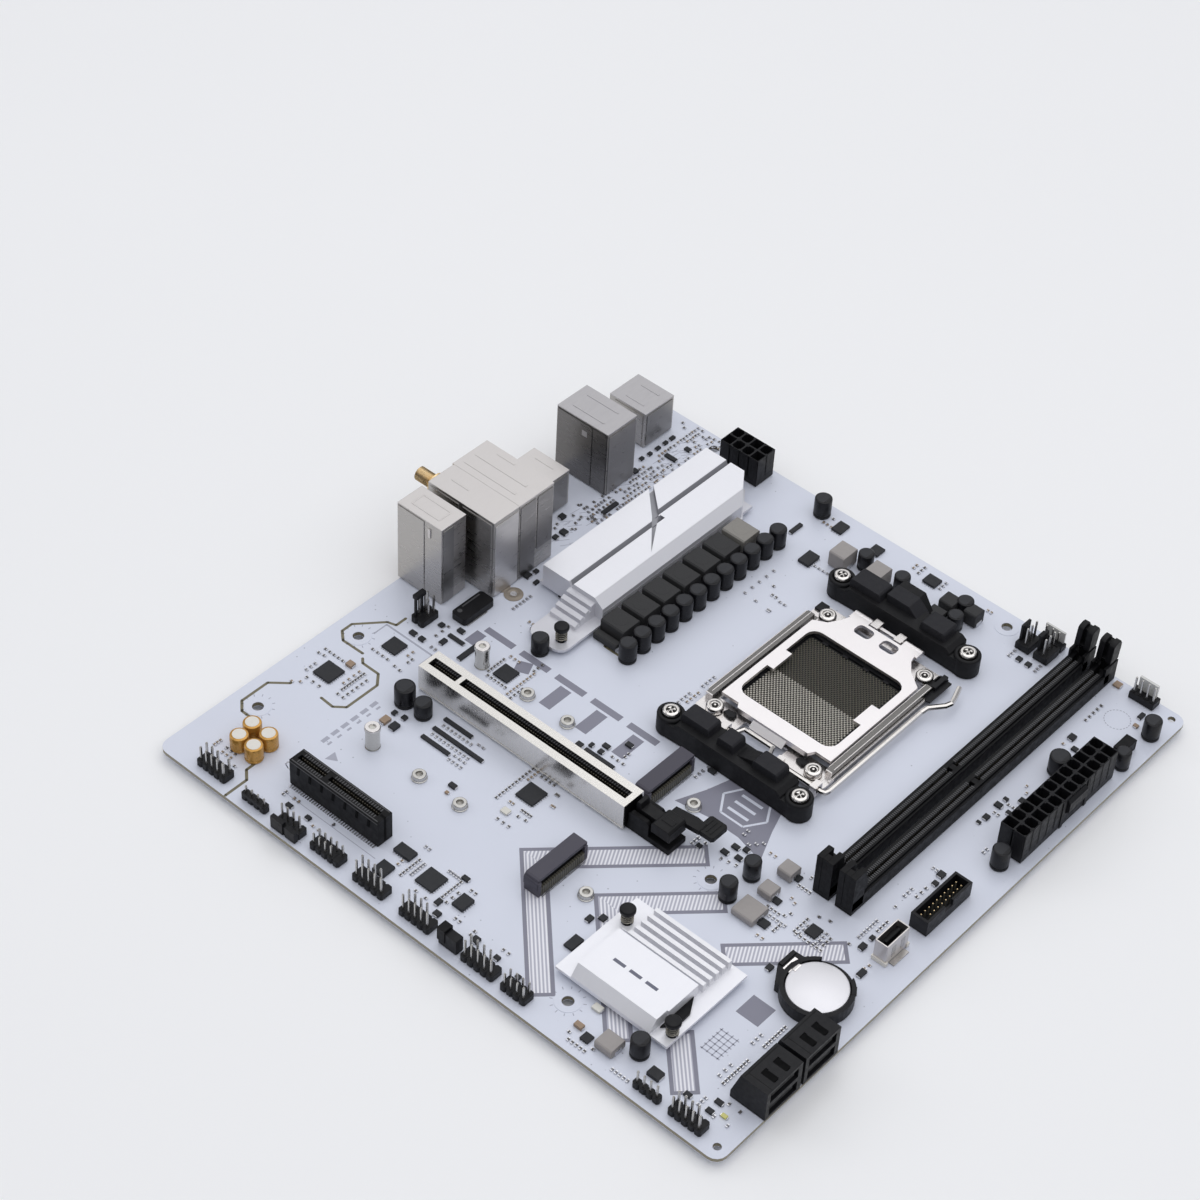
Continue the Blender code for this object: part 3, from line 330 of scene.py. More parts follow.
class Piece:
    """Closed shapes gathered into one object, each with one of its materials."""

    def __init__(self, name, *looks, body="board", bevel=0.12, slot=None, replaces=()):
        self.name = name
        self.looks = looks
        self.body = body
        self.bevel = bevel
        self.slot = slot
        self.replaces = replaces
        self.mesh = bmesh.new()

    def finish_faces(self, faces, look):
        """Paints faces with one of the piece's looks, the first if none is named."""
        number = self.looks.index(look) if look else 0
        for face in faces:
            face.material_index = number
            face.smooth = True

    def box(self, x, y, z, look=None, turn=0.0):
        """A box by its limits, turned about its own upright axis by degrees."""
        middle = at((x[0] + x[1]) / 2, (y[0] + y[1]) / 2, 0.0)
        spin = Matrix.Rotation(math.radians(turn), 3, "Z")
        rings = []
        for level in z:
            ring = []
            for corner in ((x[0], y[0]), (x[1], y[0]), (x[1], y[1]), (x[0], y[1])):
                place = at(*corner, level)
                ring.append(self.mesh.verts.new(middle + spin @ (place - middle)))
            rings.append(ring)
        low, high = rings
        faces = [self.mesh.faces.new(low[::-1]), self.mesh.faces.new(high)]
        for index in range(4):
            after = (index + 1) % 4
            corners = (low[index], low[after], high[after], high[index])
            faces.append(self.mesh.faces.new(corners))
        self.finish_faces(faces, look)

    def block(self, x, y, half_x, half_y, z, look=None, turn=0.0):
        """A box about a middle."""
        self.box(around(x, half_x), around(y, half_y), z, look, turn)

    def rod(self, centre, radius, span, look=None, axis="z", sides=24, end=None):
        """A round bar or cone along one axis; centre holds the other two coordinates."""
        end = radius if end is None else end
        middle = (span[0] + span[1]) / 2
        if axis == "z":
            turn = Matrix.Identity(4)
            point = at(centre[0], centre[1], middle)
        elif axis == "x":
            turn = Matrix.Rotation(math.pi / 2, 4, "Y")
            point = at(middle, centre[0], centre[1])
        else:
            turn = Matrix.Rotation(-math.pi / 2, 4, "X")
            point = at(centre[0], middle, centre[1])
        made = bmesh.ops.create_cone(
            self.mesh, cap_ends=True, segments=sides, radius1=radius * MM, radius2=end * MM,
            depth=(span[1] - span[0]) * MM, matrix=Matrix.Translation(point) @ turn)
        faces = {face for vert in made["verts"] for face in vert.link_faces}
        self.finish_faces(faces, look)

    def skin(self, rings, look):
        """Joins rings of corners into a closed solid; a ring of one corner is a tip."""
        faces = [self.mesh.faces.new(ring) for ring in (rings[0], rings[-1]) if len(ring) > 1]
        count = max(len(ring) for ring in rings)
        for lower, upper in zip(rings, rings[1:]):
            for step in range(count):
                after = (step + 1) % count
                corners = [lower[step % len(lower)], lower[after % len(lower)],
                           upper[after % len(upper)], upper[step % len(upper)]]
                faces.append(self.mesh.faces.new(list(dict.fromkeys(corners))))
        bmesh.ops.recalc_face_normals(self.mesh, faces=faces)
        self.finish_faces(faces, look)

    def ring(self, points, level, axis):
        """New corners for (x, y) points at a z, (y, z) points at an x or (x, z) at a y."""
        made = []
        for first, second in points:
            place = {"z": (first, second, level), "x": (level, first, second),
                     "y": (first, level, second)}[axis]
            made.append(self.mesh.verts.new(at(*place)))
        return made

    def prism(self, outline, span, look=None, axis="z"):
        """An outline carried along an axis."""
        self.skin([self.ring(outline, level, axis) for level in span], look)

    def turned(self, centre, profile, look=None, sides=32, axis="z"):
        """A lathed solid from (radius, height) points whose first and last radius are zero."""
        rings = []
        for radius, height in profile:
            angles = [2 * math.pi * step / sides for step in range(sides if radius > 0 else 1)]
            points = [(centre[0] + radius * math.cos(angle),
                       centre[1] + radius * math.sin(angle)) for angle in angles]
            rings.append(self.ring(points, height, axis))
        self.skin(rings, look)

    def tube(self, points, radius, look=None, sides=8):
        """A round wire along a path of board points."""
        path = [at(*point) for point in points]
        side = (path[1] - path[0]).orthogonal()
        rings = []
        for index, point in enumerate(path):
            ahead = path[min(index + 1, len(path) - 1)] - path[max(index - 1, 0)]
            ahead.normalize()
            side = (side - ahead * side.dot(ahead)).normalized()
            other = ahead.cross(side)
            ring = []
            for step in range(sides):
                angle = 2 * math.pi * step / sides
                out = side * math.cos(angle) + other * math.sin(angle)
                ring.append(self.mesh.verts.new(point + out * radius * MM))
            rings.append(ring)
        self.skin(rings, look)

    def solid(self):
        """The gathered shapes as a bare object in the scene."""
        mesh = bpy.data.meshes.new(self.name)
        self.mesh.to_mesh(mesh)
        self.mesh.free()
        made = bpy.data.objects.new(self.name, mesh)
        bpy.context.scene.collection.objects.link(made)
        return made

    def done(self):
        """The finished object, riding its body, with the nodes it replaces hidden."""
        made = self.solid()
        for look in self.looks:
            made.data.materials.append(LOOK[look])
        made.data.set_sharp_from_angle(angle=SHARP_ANGLE)
        if self.bevel:
            soften(made, self.bevel)
        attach(made, self.body)
        if self.replaces:
            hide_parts(*self.replaces)
        return made


def soften(made, width):
    """Small rounded edges, as moulding and stamping leave them."""
    bevel = made.modifiers.new("soft edges", "BEVEL")
    bevel.width = width * MM
    bevel.segments = 2
    bevel.limit_method = "ANGLE"
    bevel.angle_limit = BEVEL_ANGLE
    bevel.harden_normals = True


def carve(made, cutters):
    """Cuts hidden solids out of a piece that has no modifiers yet."""
    for number, cutter in enumerate(cutters):
        modifier = made.modifiers.new(f"cut {number}", "BOOLEAN")
        modifier.operation = "DIFFERENCE"
        modifier.solver = "EXACT"
        modifier.use_self = True
        modifier.object = cutter
    graph = bpy.context.evaluated_depsgraph_get()
    mesh = bpy.data.meshes.new_from_object(made.evaluated_get(graph))
    made.modifiers.clear()
    made.data = mesh
    for face in mesh.polygons:
        face.use_smooth = True
    mesh.set_sharp_from_angle(angle=SHARP_ANGLE)
    for cutter in cutters:
        bpy.data.objects.remove(cutter, do_unlink=True)


def box_cutter(x, y, z):
    """A hidden box for carve to cut with."""
    shape = Piece("cutter", "slot_black")
    shape.box(x, y, z)
    made = shape.solid()
    made.hide_render = True
    return made


def around(middle, half):
    """The span that reaches half each way from a middle."""
    return middle - half, middle + half


def both_sides(middle, near, far):
    """Two spans, one each side of a middle, from near to far of it."""
    return (middle - far, middle - near), (middle + near, middle + far)


def rounded(x, y, radius, steps=4):
    """The corner points of a rectangle with round corners."""
    corners = ((x[1] - radius, y[1] - radius, 0), (x[0] + radius, y[1] - radius, 90),
               (x[0] + radius, y[0] + radius, 180), (x[1] - radius, y[0] + radius, 270))
    points = []
    for middle_x, middle_y, start in corners:
        for step in range(steps + 1):
            angle = math.radians(start + 90 * step / steps)
            points.append((middle_x + radius * math.cos(angle),
                           middle_y + radius * math.sin(angle)))
    return points


def line_up(first, pitch, count):
    """Evenly spaced numbers."""
    return [first + pitch * index for index in range(count)]


# --- Printing on the board ----------------------------------------------------------------

INK = (-0.05, 0.03)
OVER_INK = (-0.05, 0.045)
BAND_END = (-0.05, 0.055)
FAINT = "print_faint"


def strip(shape, start, end, width, look, level=INK):
    """A straight printed strip between two points."""
    start, end = Vector(start), Vector(end)
    run = end - start
    side = Vector((-run.y, run.x)).normalized() * width / 2
    shape.prism([start + side, end + side, end - side, start - side], level, look)


def polyline(shape, points, width, look):
    """Printed strips from point to point, with round joints."""
    for start, end in zip(points, points[1:]):
        strip(shape, start, end, width, look)
    for point in points:
        shape.rod(point, width / 2, INK, look, sides=10)


def offset_path(path, offset):
    """The path moved sideways, its middle corners kept sharp."""
    points = [Vector(point) for point in path]
    moved = []
    for index, point in enumerate(points):
        before = points[max(index - 1, 0)]
        after = points[min(index + 1, len(points) - 1)]
        runs = [(b - a).normalized() for a, b in ((before, point), (point, after)) if a != b]
        sides = [Vector((-run.y, run.x)) for run in runs]
        middle = sum(sides, Vector((0.0, 0.0))).normalized()
        moved.append(point + middle * offset / middle.dot(sides[0]))
    return moved


def make_bands():
    """Hatched bands with darker borders, mitred where two runs meet."""
    bands = Piece("printed_bands", "print_grey", "hatch_across", "hatch_along", bevel=0)
    paths = (
        ((158.3, 87.1), (119.4, 48.3), (158.0, 9.7)),
        ((174.6, 76.4), (148.7, 50.5), (186.3, 12.9)),
        ((187.0, 59.2), (214.6, 86.8)),
        ((196.4, 28.6), (213.0, 12.0)),
    )
    layers = ((-3.3, 3.3, INK), (3.1, 4.4, OVER_INK), (-4.4, -3.1, OVER_INK))
    for path in paths:
        for low, high, level in layers:
            lows = offset_path(path, low)
            highs = offset_path(path, high)
            for index in range(len(path) - 1):
                run = Vector(path[index + 1]) - Vector(path[index])
                hatch = "hatch_across" if run.x * run.y > 0 else "hatch_along"
                corners = [lows[index], lows[index + 1], highs[index + 1], highs[index]]
                bands.prism(corners, level, hatch if level is INK else "print_grey")
        for end, inside in ((path[0], path[1]), (path[-1], path[-2])):
            run = (Vector(inside) - Vector(end)).normalized()
            side = Vector((-run.y, run.x)) * 4.4
            middle = Vector(end) + run * 0.65
            strip(bands, middle - side, middle + side, 1.3, "print_grey", BAND_END)
    bands.done()


def make_blocks():
    """Plain printed blocks, a plain badge and the thin marks round parts and holes."""
    blocks = Piece("printed_blocks", "print_grey", "board_mask", FAINT, bevel=0)
    for x in line_up(38.4, 16.0, 6):
        if x < 55 or 66 < x < 118:
            blocks.box((x, x + 12.6), (111.0, 113.7), INK)
        if 66 < x < 118:
            blocks.box((x + 4.0, x + 8.8), (99.2, 110.0), INK)
    blocks.box((36.6, 40.8), (103.4, 109.8), INK)
    blocks.box((57.0, 62.4), (105.0, 110.2), INK, turn=24)
    blocks.box((204.0, 212.6), (45.6, 54.2), INK)
    badge = [(135.2, 97.4), (139.6, 108.0), (143.6, 121.4), (162.0, 121.4), (166.4, 108.6),
             (171.4, 96.6), (160.0, 99.4), (147.6, 99.4)]
    blocks.prism(badge, INK)
    ring = [(149.0, 118.2), (158.2, 118.2), (162.6, 110.6), (158.2, 103.8), (149.0, 103.8),
            (144.6, 110.6)]
    for start, end in zip(ring, ring[1:] + ring[:1]):
        strip(blocks, start, end, 0.8, "board_mask", OVER_INK)
    for y in (107.0, 110.6, 114.2):
        strip(blocks, (149.4, y), (157.8, y), 1.1, "board_mask", OVER_INK)
    blocks.prism([(42.4, 33.0), (46.2, 35.2), (42.6, 37.4)], INK, FAINT)
    for y in line_up(37.6, 4.4, 6):
        strip(blocks, (36.4, y), (36.4, y + 3.0), 1.5, FAINT)
        strip(blocks, (38.6, y + 0.4), (38.6, y + 2.2), 0.8, FAINT)
    for step in range(24):
        turn = math.radians(15 * step), math.radians(15 * step + 9)
        ends = [(218.0 + 4.5 * math.cos(a), 227.5 + 4.5 * math.sin(a)) for a in turn]
        strip(blocks, *ends, 0.3, FAINT)
    for y in line_up(28.4, 1.8, 6):
        strip(blocks, (204.8, y), (212.2, y), 0.4, FAINT)
    for x in line_up(205.4, 2.0, 4):
        strip(blocks, (x, 28.0), (x, 38.2), 0.35, FAINT)
    for x, y in ((10.16, 34.29), (10.16, 80.01), (165.1, 13.97), (165.1, 80.01)):
        for step in range(12):
            turn = math.radians(30 * step)
            ends = [(x + reach * math.cos(turn), y + reach * math.sin(turn))
                    for reach in (4.7, 5.7)]
            strip(blocks, *ends, 0.3, FAINT)
    for start, end, width in (((43.0, 14.2), (84.0, 14.2), 0.25),
                              ((13.0, 84.5), (13.0, 90.6), 0.5),
                              ((34.2, 84.5), (34.2, 90.6), 0.5),
                              ((13.0, 90.5), (34.2, 90.5), 0.7)):
        strip(blocks, start, end, width, FAINT)
    blocks.done()


def make_tracks():
    """The bare border of the sound section, and one short track by the socket."""
    tracks = Piece("printed_tracks", "track_olive", bevel=0)
    runs = (
        ((15.5, 97.0), (15.5, 92.5), (12.3, 91.5), (4.5, 82.5), (4.5, 78.0), (8.0, 75.0),
         (17.0, 75.2)),
        ((18.7, 73.5), (20.3, 72.0), (27.5, 72.0), (31.0, 68.0), (31.0, 54.0), (27.5, 51.0),
         (22.0, 51.3)),
        ((10.0, 49.0), (4.5, 44.0), (4.5, 32.5), (8.0, 29.3), (11.5, 29.3)),
        ((28.0, 16.0), (28.0, 12.5), (31.3, 9.5), (31.3, 0.4)),
        ((71.0, 141.0), (72.5, 134.0), (80.0, 134.0)),
    )
    for points in runs:
        polyline(tracks, points, 1.0, "track_olive")
    tracks.done()


def make_faint_runs():
    """Fine copper runs under the mask behind the heatsink, and the solder of two lugs."""
    runs = Piece("faint_runs", FAINT, "bore_pad", "solder", bevel=0)
    scatter = random.Random(11)
    for _ in range(90):
        x = scatter.uniform(18.4, 34.6)
        y = scatter.uniform(158.0, 239.0)
        length = scatter.uniform(2.0, 6.0)
        slope = scatter.choice((0.0, 0.7, 0.7, -0.7))
        end = (min(x + length * abs(slope or 0.1), 35.8), min(y + length, 242.6))
        strip(runs, (x, y), end, 0.2, FAINT)
    for x, y, radius in ((33.4, 131.0, 3.4), (27.6, 131.0, 3.2)):
        runs.turned((x, y), ((0, 0.02), (radius, 0.02), (radius, 0.25), (radius * 0.6, 0.5),
                             (radius * 0.45, 0.25), (0, 0.25)), "bore_pad", 32)
        runs.rod((x, y), radius * 0.35, (0.1, 0.45), "solder")
    runs.done()


# --- Small parts soldered to the board ----------------------------------------------------

CHIPS = (
    # centre x, centre y, width, depth, height, sides with leads
    (15.6, 61, 7.4, 7.4, 1, "news"), (22.4, 84.7, 6.2, 6.2, 0.9, "news"),
    (57.9, 101.2, 6.3, 6.3, 0.9, "news"), (100.8, 67.3, 7.3, 7.3, 1, "news"),
    (102.9, 19.7, 7.3, 7.3, 1, "news"), (89.2, 22.2, 6.8, 4, 1.4, "ns"),
    (89.2, 12.6, 4.8, 5.4, 1.4, "ns"), (116.4, 19.7, 4.4, 5.6, 1.4, "ew"),
    (95, 215.6, 4.6, 6.6, 1.4, "ew"), (132.9, 237.2, 5.4, 4.6, 1.1, "ns"),
    (92.9, 236.2, 4.2, 5.4, 1.1, "ns"), (109.4, 235.8, 4.2, 4.6, 1.1, "ns"),
    (188.8, 77.4, 3.1, 3.1, 0.9, "ew"), (201.9, 85.6, 4.2, 4.4, 1, "news"),
    (186, 87.2, 2.4, 2.4, 0.8, ""), (184.6, 99, 2.6, 2.6, 0.8, ""),
    (178.6, 7.4, 3.2, 3.2, 0.9, "ns"), (26.6, 102.9, 1.8, 2, 0.8, "ew"),
    (151.6, 31.4, 3.4, 5.6, 1.2, "ew"), (151.4, 45, 2.2, 2.4, 0.8, "ew"),
)

BLOCK_PARTS = {
    # centre x, centre y, width, depth, height, by look
    "ceramic_brown": (
        (18.2, 68.4, 3.2, 2.4, 1.2), (44.5, 58.2, 2.6, 3.8, 1.3), (80.9, 49.3, 1.8, 1.1, 0.8),
        (174, 9.1, 3.6, 1.9, 1.4), (224.4, 229, 1.8, 2, 0.9), (209, 240.8, 3.2, 2.6, 0.9),
    ),
    "chip_epoxy": (
        (22.6, 93.4, 3.2, 1.9, 1), (26.7, 93.4, 2.8, 1.9, 1), (33.4, 105.3, 3.2, 1.8, 1),
        (35, 101.3, 7.4, 1.5, 0.8), (32.6, 97.4, 1.8, 3.4, 1), (42, 99.8, 2, 10.2, 0.8),
        (109, 105.2, 3.2, 1.8, 1), (104, 99.6, 3.2, 1.7, 1), (97.2, 94.1, 3, 1.9, 1),
        (106, 93.9, 13, 1.4, 1), (100.1, 96.7, 2, 1.8, 0.9), (104.3, 96.6, 2.4, 1.8, 0.9),
        (63.9, 72.2, 12.8, 1.5, 0.9), (68.9, 66.8, 22.4, 1.5, 0.9), (63.9, 61.6, 12.8, 1.5, 0.9),
        (48.6, 58.2, 2.6, 3.8, 1.3), (44.3, 62.7, 2.2, 1.9, 1), (48.2, 63.3, 1.8, 2.4, 1),
        (80.3, 52.6, 3.3, 1.8, 1.1), (110.2, 27.4, 3.2, 1.7, 1), (110.6, 14.8, 1.8, 3.2, 1),
        (49.2, 11, 3, 1.5, 1), (57.2, 11.4, 2, 2.1, 1), (113.6, 11.2, 2.4, 2.6, 1),
        (129.3, 11.8, 2.4, 3, 1.2), (138.7, 11.2, 2, 2.2, 1), (148.3, 10.2, 1.8, 2, 1),
        (162.4, 95.4, 3.2, 1.8, 1), (165.6, 96.8, 2.6, 1.8, 1), (161.2, 91.4, 3.2, 1.8, 1),
        (166, 92.5, 3, 1.7, 1), (153.6, 87.8, 1.8, 2.2, 0.9), (148.6, 41.8, 2, 3.2, 1),
        (201, 65.2, 2, 3, 1), (222.8, 82.8, 2, 3.8, 1.1), (222.2, 16.4, 3.2, 1.7, 1),
        (213.8, 12.2, 3, 1.7, 1), (222.2, 12.2, 3, 1.7, 1), (202.2, 11.2, 5, 3.4, 1.6),
        (216.6, 91.2, 2, 3.2, 1.2), (216.6, 96, 1.5, 2.4, 1), (216.6, 131.4, 2.4, 3, 1.1),
        (217.4, 127.2, 1.9, 2.4, 1), (212.4, 161, 2, 2.8, 1), (212.2, 168, 3.2, 2, 1),
        (212.4, 171.8, 1.7, 1.9, 0.9), (211.9, 157.6, 1.6, 1.7, 0.8),
        (212, 209.6, 2.4, 3.2, 1.1), (215.8, 205.8, 2.8, 1.7, 1), (216.6, 174.8, 1.9, 2.8, 1),
        (216.6, 167.6, 1.9, 2, 1), (223.2, 234, 1.6, 3.6, 1), (81.7, 224.8, 1.6, 6.8, 1),
        (27.8, 186.6, 1.6, 8.6, 1), (25.4, 222.4, 5.6, 1.7, 1), (26.8, 230.2, 3, 1.7, 1),
        (18.9, 171.4, 2.2, 3, 1.2), (24.8, 165.8, 3.2, 2.4, 1.2), (24.4, 162, 2.4, 2, 1),
        (18.6, 231, 1.4, 3, 1), (18.6, 227.2, 1.4, 2.6, 1), (18.6, 223, 1.4, 2.8, 1),
        (18.6, 218.6, 1.4, 2.4, 1), (18.2, 214.6, 1.4, 2.4, 1), (21, 207.6, 2.2, 3, 1.1),
        (30.9, 140.8, 2.6, 2.6, 1.2), (35.2, 140.4, 1.4, 2.8, 1), (31.4, 144.4, 1.6, 2.4, 1),
        (45, 144.2, 2.6, 2.8, 1.2), (46.2, 141.2, 1.8, 2.2, 1), (28.5, 144, 1.6, 2.6, 1),
        (177.6, 227.2, 2, 2.6, 1), (181.4, 227.2, 2, 2.6, 1), (136, 115, 3.4, 1.6, 1),
        (50.4, 123.2, 3, 2.2, 1.2),
    ),
    "white_moulding": (
        (173.6, 17.8, 3.8, 2.4, 1.1), (99.8, 56.4, 3.4, 2.4, 0.9),
    ),
    "slot_black": (
        (228, 216.4, 4.2, 8.4, 4.4),
    ),
}

PASSIVE_ROWS = {
    # first x, first y, step x, step y, how many, by look and the way each part lies
    ("passive_dark", "x"): (
        (7, 68, 2, 0, 5), (6.6, 65.2, 2.2, 0.3, 2), (24.4, 58.6, 0, 1.25, 9),
        (27.2, 56.2, 0, 2.15, 6), (24.8, 56.2, 0, -1.8, 1), (18.2, 78.8, 2.3, 0, 4),
        (29, 78.2, 2.6, -0.3, 2), (31, 84.4, 0, -1.9, 2), (24.4, 10.8, 0, 0, 1),
        (44.2, 13.2, 0, 1.4, 2), (93.6, 58.8, 0, 1.55, 13), (107.4, 77.8, 0, 1.4, 2),
        (107, 58, -2.9, -0.4, 2), (52.8, 98.2, 0, 1.5, 6), (66.6, 94.2, 0, 1.9, 4),
        (63.8, 108.6, 0, 2, 3), (108.4, 97.6, 2.3, 0, 3), (111.4, 100.4, 0, 1.8, 2),
        (94.5, 14.8, 0, 1.4, 7), (110, 17.4, 0, 1.35, 7), (112.4, 16.6, 0, 2.6, 3),
        (102.4, 13.4, 4.2, 0, 2), (126.6, 12.4, 0, 1.8, 2), (154.4, 90.2, 0, 0, 1),
        (192.6, 77.4, 0, 1.5, 3), (191.2, 84.4, 1, 2, 2), (186.4, 76.6, 0, 0, 1),
        (197.4, 88.2, 0, -1.6, 5), (207.4, 83.6, 0, 1.7, 3), (199.4, 91.4, 3.6, 1, 2),
        (212.8, 89.4, 0, 1.9, 1), (216, 99.6, 0, 1.6, 4), (218.6, 22.6, 0, 1.4, 9),
        (218.8, 41.2, 0, 1.4, 8), (173.2, 5.6, 9.4, 0, 2), (216.4, 119, 0, 2.4, 3),
        (214.4, 170.6, 1.9, 0, 2), (210.6, 219.6, 0, 2.3, 5), (94.8, 196.6, 0, 0, 1),
        (88, 238.4, 0, 0, 1), (126.8, 237.4, 0, 1.9, 3), (15.6, 240.6, 2.2, -1.8, 2),
        (28.8, 104, 0, -3, 3),
    ),
    ("passive_dark", "y"): (
        (12, 54.4, 2.9, 0, 3), (16.6, 14.6, 2.1, 0, 3), (64.8, 15, 0, 0, 1),
        (97.8, 75.2, 1.8, 0, 4), (106.4, 72.8, 0.9, 0, 2), (103.2, 60.3, 1.2, 0, 4),
        (100, 52.4, 2.4, 0, 3), (54, 96.4, 1.6, 0, 6), (114.6, 25.2, 1.8, 0, 2),
        (118.8, 13.8, 1.8, 0, 2), (137.8, 14.9, 2.2, 0, 2), (162, 88.6, 2.6, 0.6, 3),
        (187.6, 102.2, 2, 0, 2), (186.8, 97, 1.4, 0, 4), (185, 83.6, 1.5, 0, 4),
        (198.4, 81.2, 1.6, 0, 7), (224.6, 18, 4.2, 0, 2), (174.8, 3.4, 1.6, 0, 5),
        (214, 111, 0, 0, 1), (213, 164.6, 1.5, 0, 2), (97.2, 192.8, 1.7, 0, 2),
    ),
    ("passive_grey", "x"): (
        (73.8, 71.4, 2, 0, 2), (71.6, 62.6, 2.1, 0, 3), (96.7, 17.2, 0, 1.15, 6),
        (160.8, 101.4, 0, 2, 2), (164.6, 99.2, 1.6, 1.8, 3), (151.2, 90.4, 0, -1.6, 3),
        (199.2, 86.2, 0, -2, 3), (205.4, 82.6, 0, 1.7, 4), (213.4, 93.6, 0, 1.5, 7),
        (215.9, 24, 0, 2.6, 3), (215.4, 39.8, 0, 2, 3), (218.2, 15, 0, -1.6, 3),
        (213.4, 116.6, 0, 1.9, 3), (220.6, 150.2, 0, -1.8, 2), (174, 226.4, 0, 1.6, 3),
        (184.8, 226.4, 0, 1.6, 3), (95, 186.6, 0, 0, 1), (89.9, 187, 0, 3.9, 5),
        (98.6, 214.6, 1.9, 0, 4), (101.4, 192, 2, 0, 2), (107.6, 131.2, 0, 1.9, 4),
        (108.6, 142.6, 0, 1.9, 4), (137, 236.2, 0, 1.9, 3), (133.6, 109.6, 0, 1.8, 3),
        (134, 115.6, 0, 2.4, 2), (38.4, 125.6, 0, 1.7, 6), (9.4, 56.8, 0, 2, 3),
    ),
    ("passive_grey", "y"): (
        (59.6, 69.8, 1.75, 0, 8), (59.6, 64.6, 1.75, 0, 10), (71.2, 60.2, 1.75, 0, 4),
        (104.2, 26.2, 1.15, 0, 5), (92, 28.4, 1.6, 0, 2), (186.4, 81.2, 1.5, 0, 6),
        (224.2, 11.6, 5, 0.2, 2), (191.6, 4, 1.5, 0, 5), (213, 132, 1.4, 0, 2),
        (100.8, 186, 0.8, 0, 2), (31.4, 93, 1.8, 0, 2),
    ),
    ("passive_tan", "x"): (
        (22.6, 61, 0, 2.4, 4), (28.8, 87, 0, -2.3, 2), (9.8, 49.8, 2.2, 1.8, 2),
        (12.8, 13, 0, 1.3, 3), (60.6, 10.2, 2.6, 0, 2), (95.7, 71.4, 0, 1.5, 5),
        (64.6, 94.8, 0, 1.6, 9), (90.8, 17.4, 0, 1.8, 2), (222.6, 87, -0.4, -2, 2),
        (211.4, 205.4, 0, 0, 1), (109.6, 133.4, 0, 1.9, 4), (124, 240.2, 0, -1.9, 2),
    ),
    ("passive_tan", "y"): (
        (17, 12.4, 1.9, 0, 3), (48, 14.2, 2, 0, 2), (108.6, 68.3, 1, 0, 2),
        (97.9, 60.4, 1.3, 0, 2), (53.4, 108.2, 1.9, 0, 3), (171.8, 101.2, 2, 0, 2),
        (188.4, 91.4, 2, -1, 2), (190, 72.6, 2, 0, 2), (213.8, 181.4, 1.8, -2.6, 3),
        (86.6, 234.4, 1.7, 0, 3), (155.6, 239.2, 1.5, 0, 2), (46.6, 124.6, 1.7, 0, 2),
    ),
}


def chip(shape, x, y, width, depth, height, leads):
    """A flat package with its first-pin dimple and its bent leads."""
    half_x, half_y = width / 2, depth / 2
    shape.block(x, y, half_x, half_y, (0.14, height), "chip_epoxy")
    shape.rod((x - half_x + 0.75, y - half_y + 0.75), 0.3, (height - 0.1, height + 0.02),
              "can_top", sides=12)
    for side in leads:
        along, half = (width, half_y) if side in "ns" else (depth, half_x)
        sign = 1 if side in "ne" else -1
        count = max(3, int((along - 0.9) / 0.75))
        pitch = (along - 0.9) / (count - 1)
        for place in line_up(-(along - 0.9) / 2, pitch, count):
            out = sorted((sign * (half - 0.1), sign * (half + 0.55)))
            across = around(place, 0.16)
            spans = (across, out) if side in "ns" else (out, across)
            limits = [[centre + v for v in span] for centre, span in zip((x, y), spans)]
            shape.box(*limits, (0.03, 0.3), "solder")


def block_part(shape, x, y, width, depth, height, look):
    """A moulded part with a solder end at both ends of its longer side."""
    half_x, half_y, trim = width / 2, depth / 2, 0.3
    top = min(height * 0.7, 0.8)
    if width >= depth:
        shape.block(x, y, half_x - trim, half_y, (0.1, height), look)
        for span in both_sides(x, half_x - 0.4, half_x):
            shape.box(span, around(y, depth * 0.36), (0.03, top), "solder")
    else:
        shape.block(x, y, half_x, half_y - trim, (0.1, height), look)
        for span in both_sides(y, half_y - 0.4, half_y):
            shape.box(around(x, width * 0.36), span, (0.03, top), "solder")


def passive(shape, x, y, size, look, way):
    """A small two-ended part, its caps a little proud of its body."""
    length, width, height = size
    for low, high, tall, paint in ((-0.27, 0.27, 0.0, look), (-0.5, -0.25, 0.03, "solder"),
                                   (0.25, 0.5, 0.03, "solder")):
        along, across = (low * length, high * length), around(0.0, width / 2 + tall)
        spans = (along, across) if way == "x" else (across, along)
        limits = [[centre + v for v in span] for centre, span in zip((x, y), spans)]
        shape.box(*limits, (0.03, height + tall), paint)


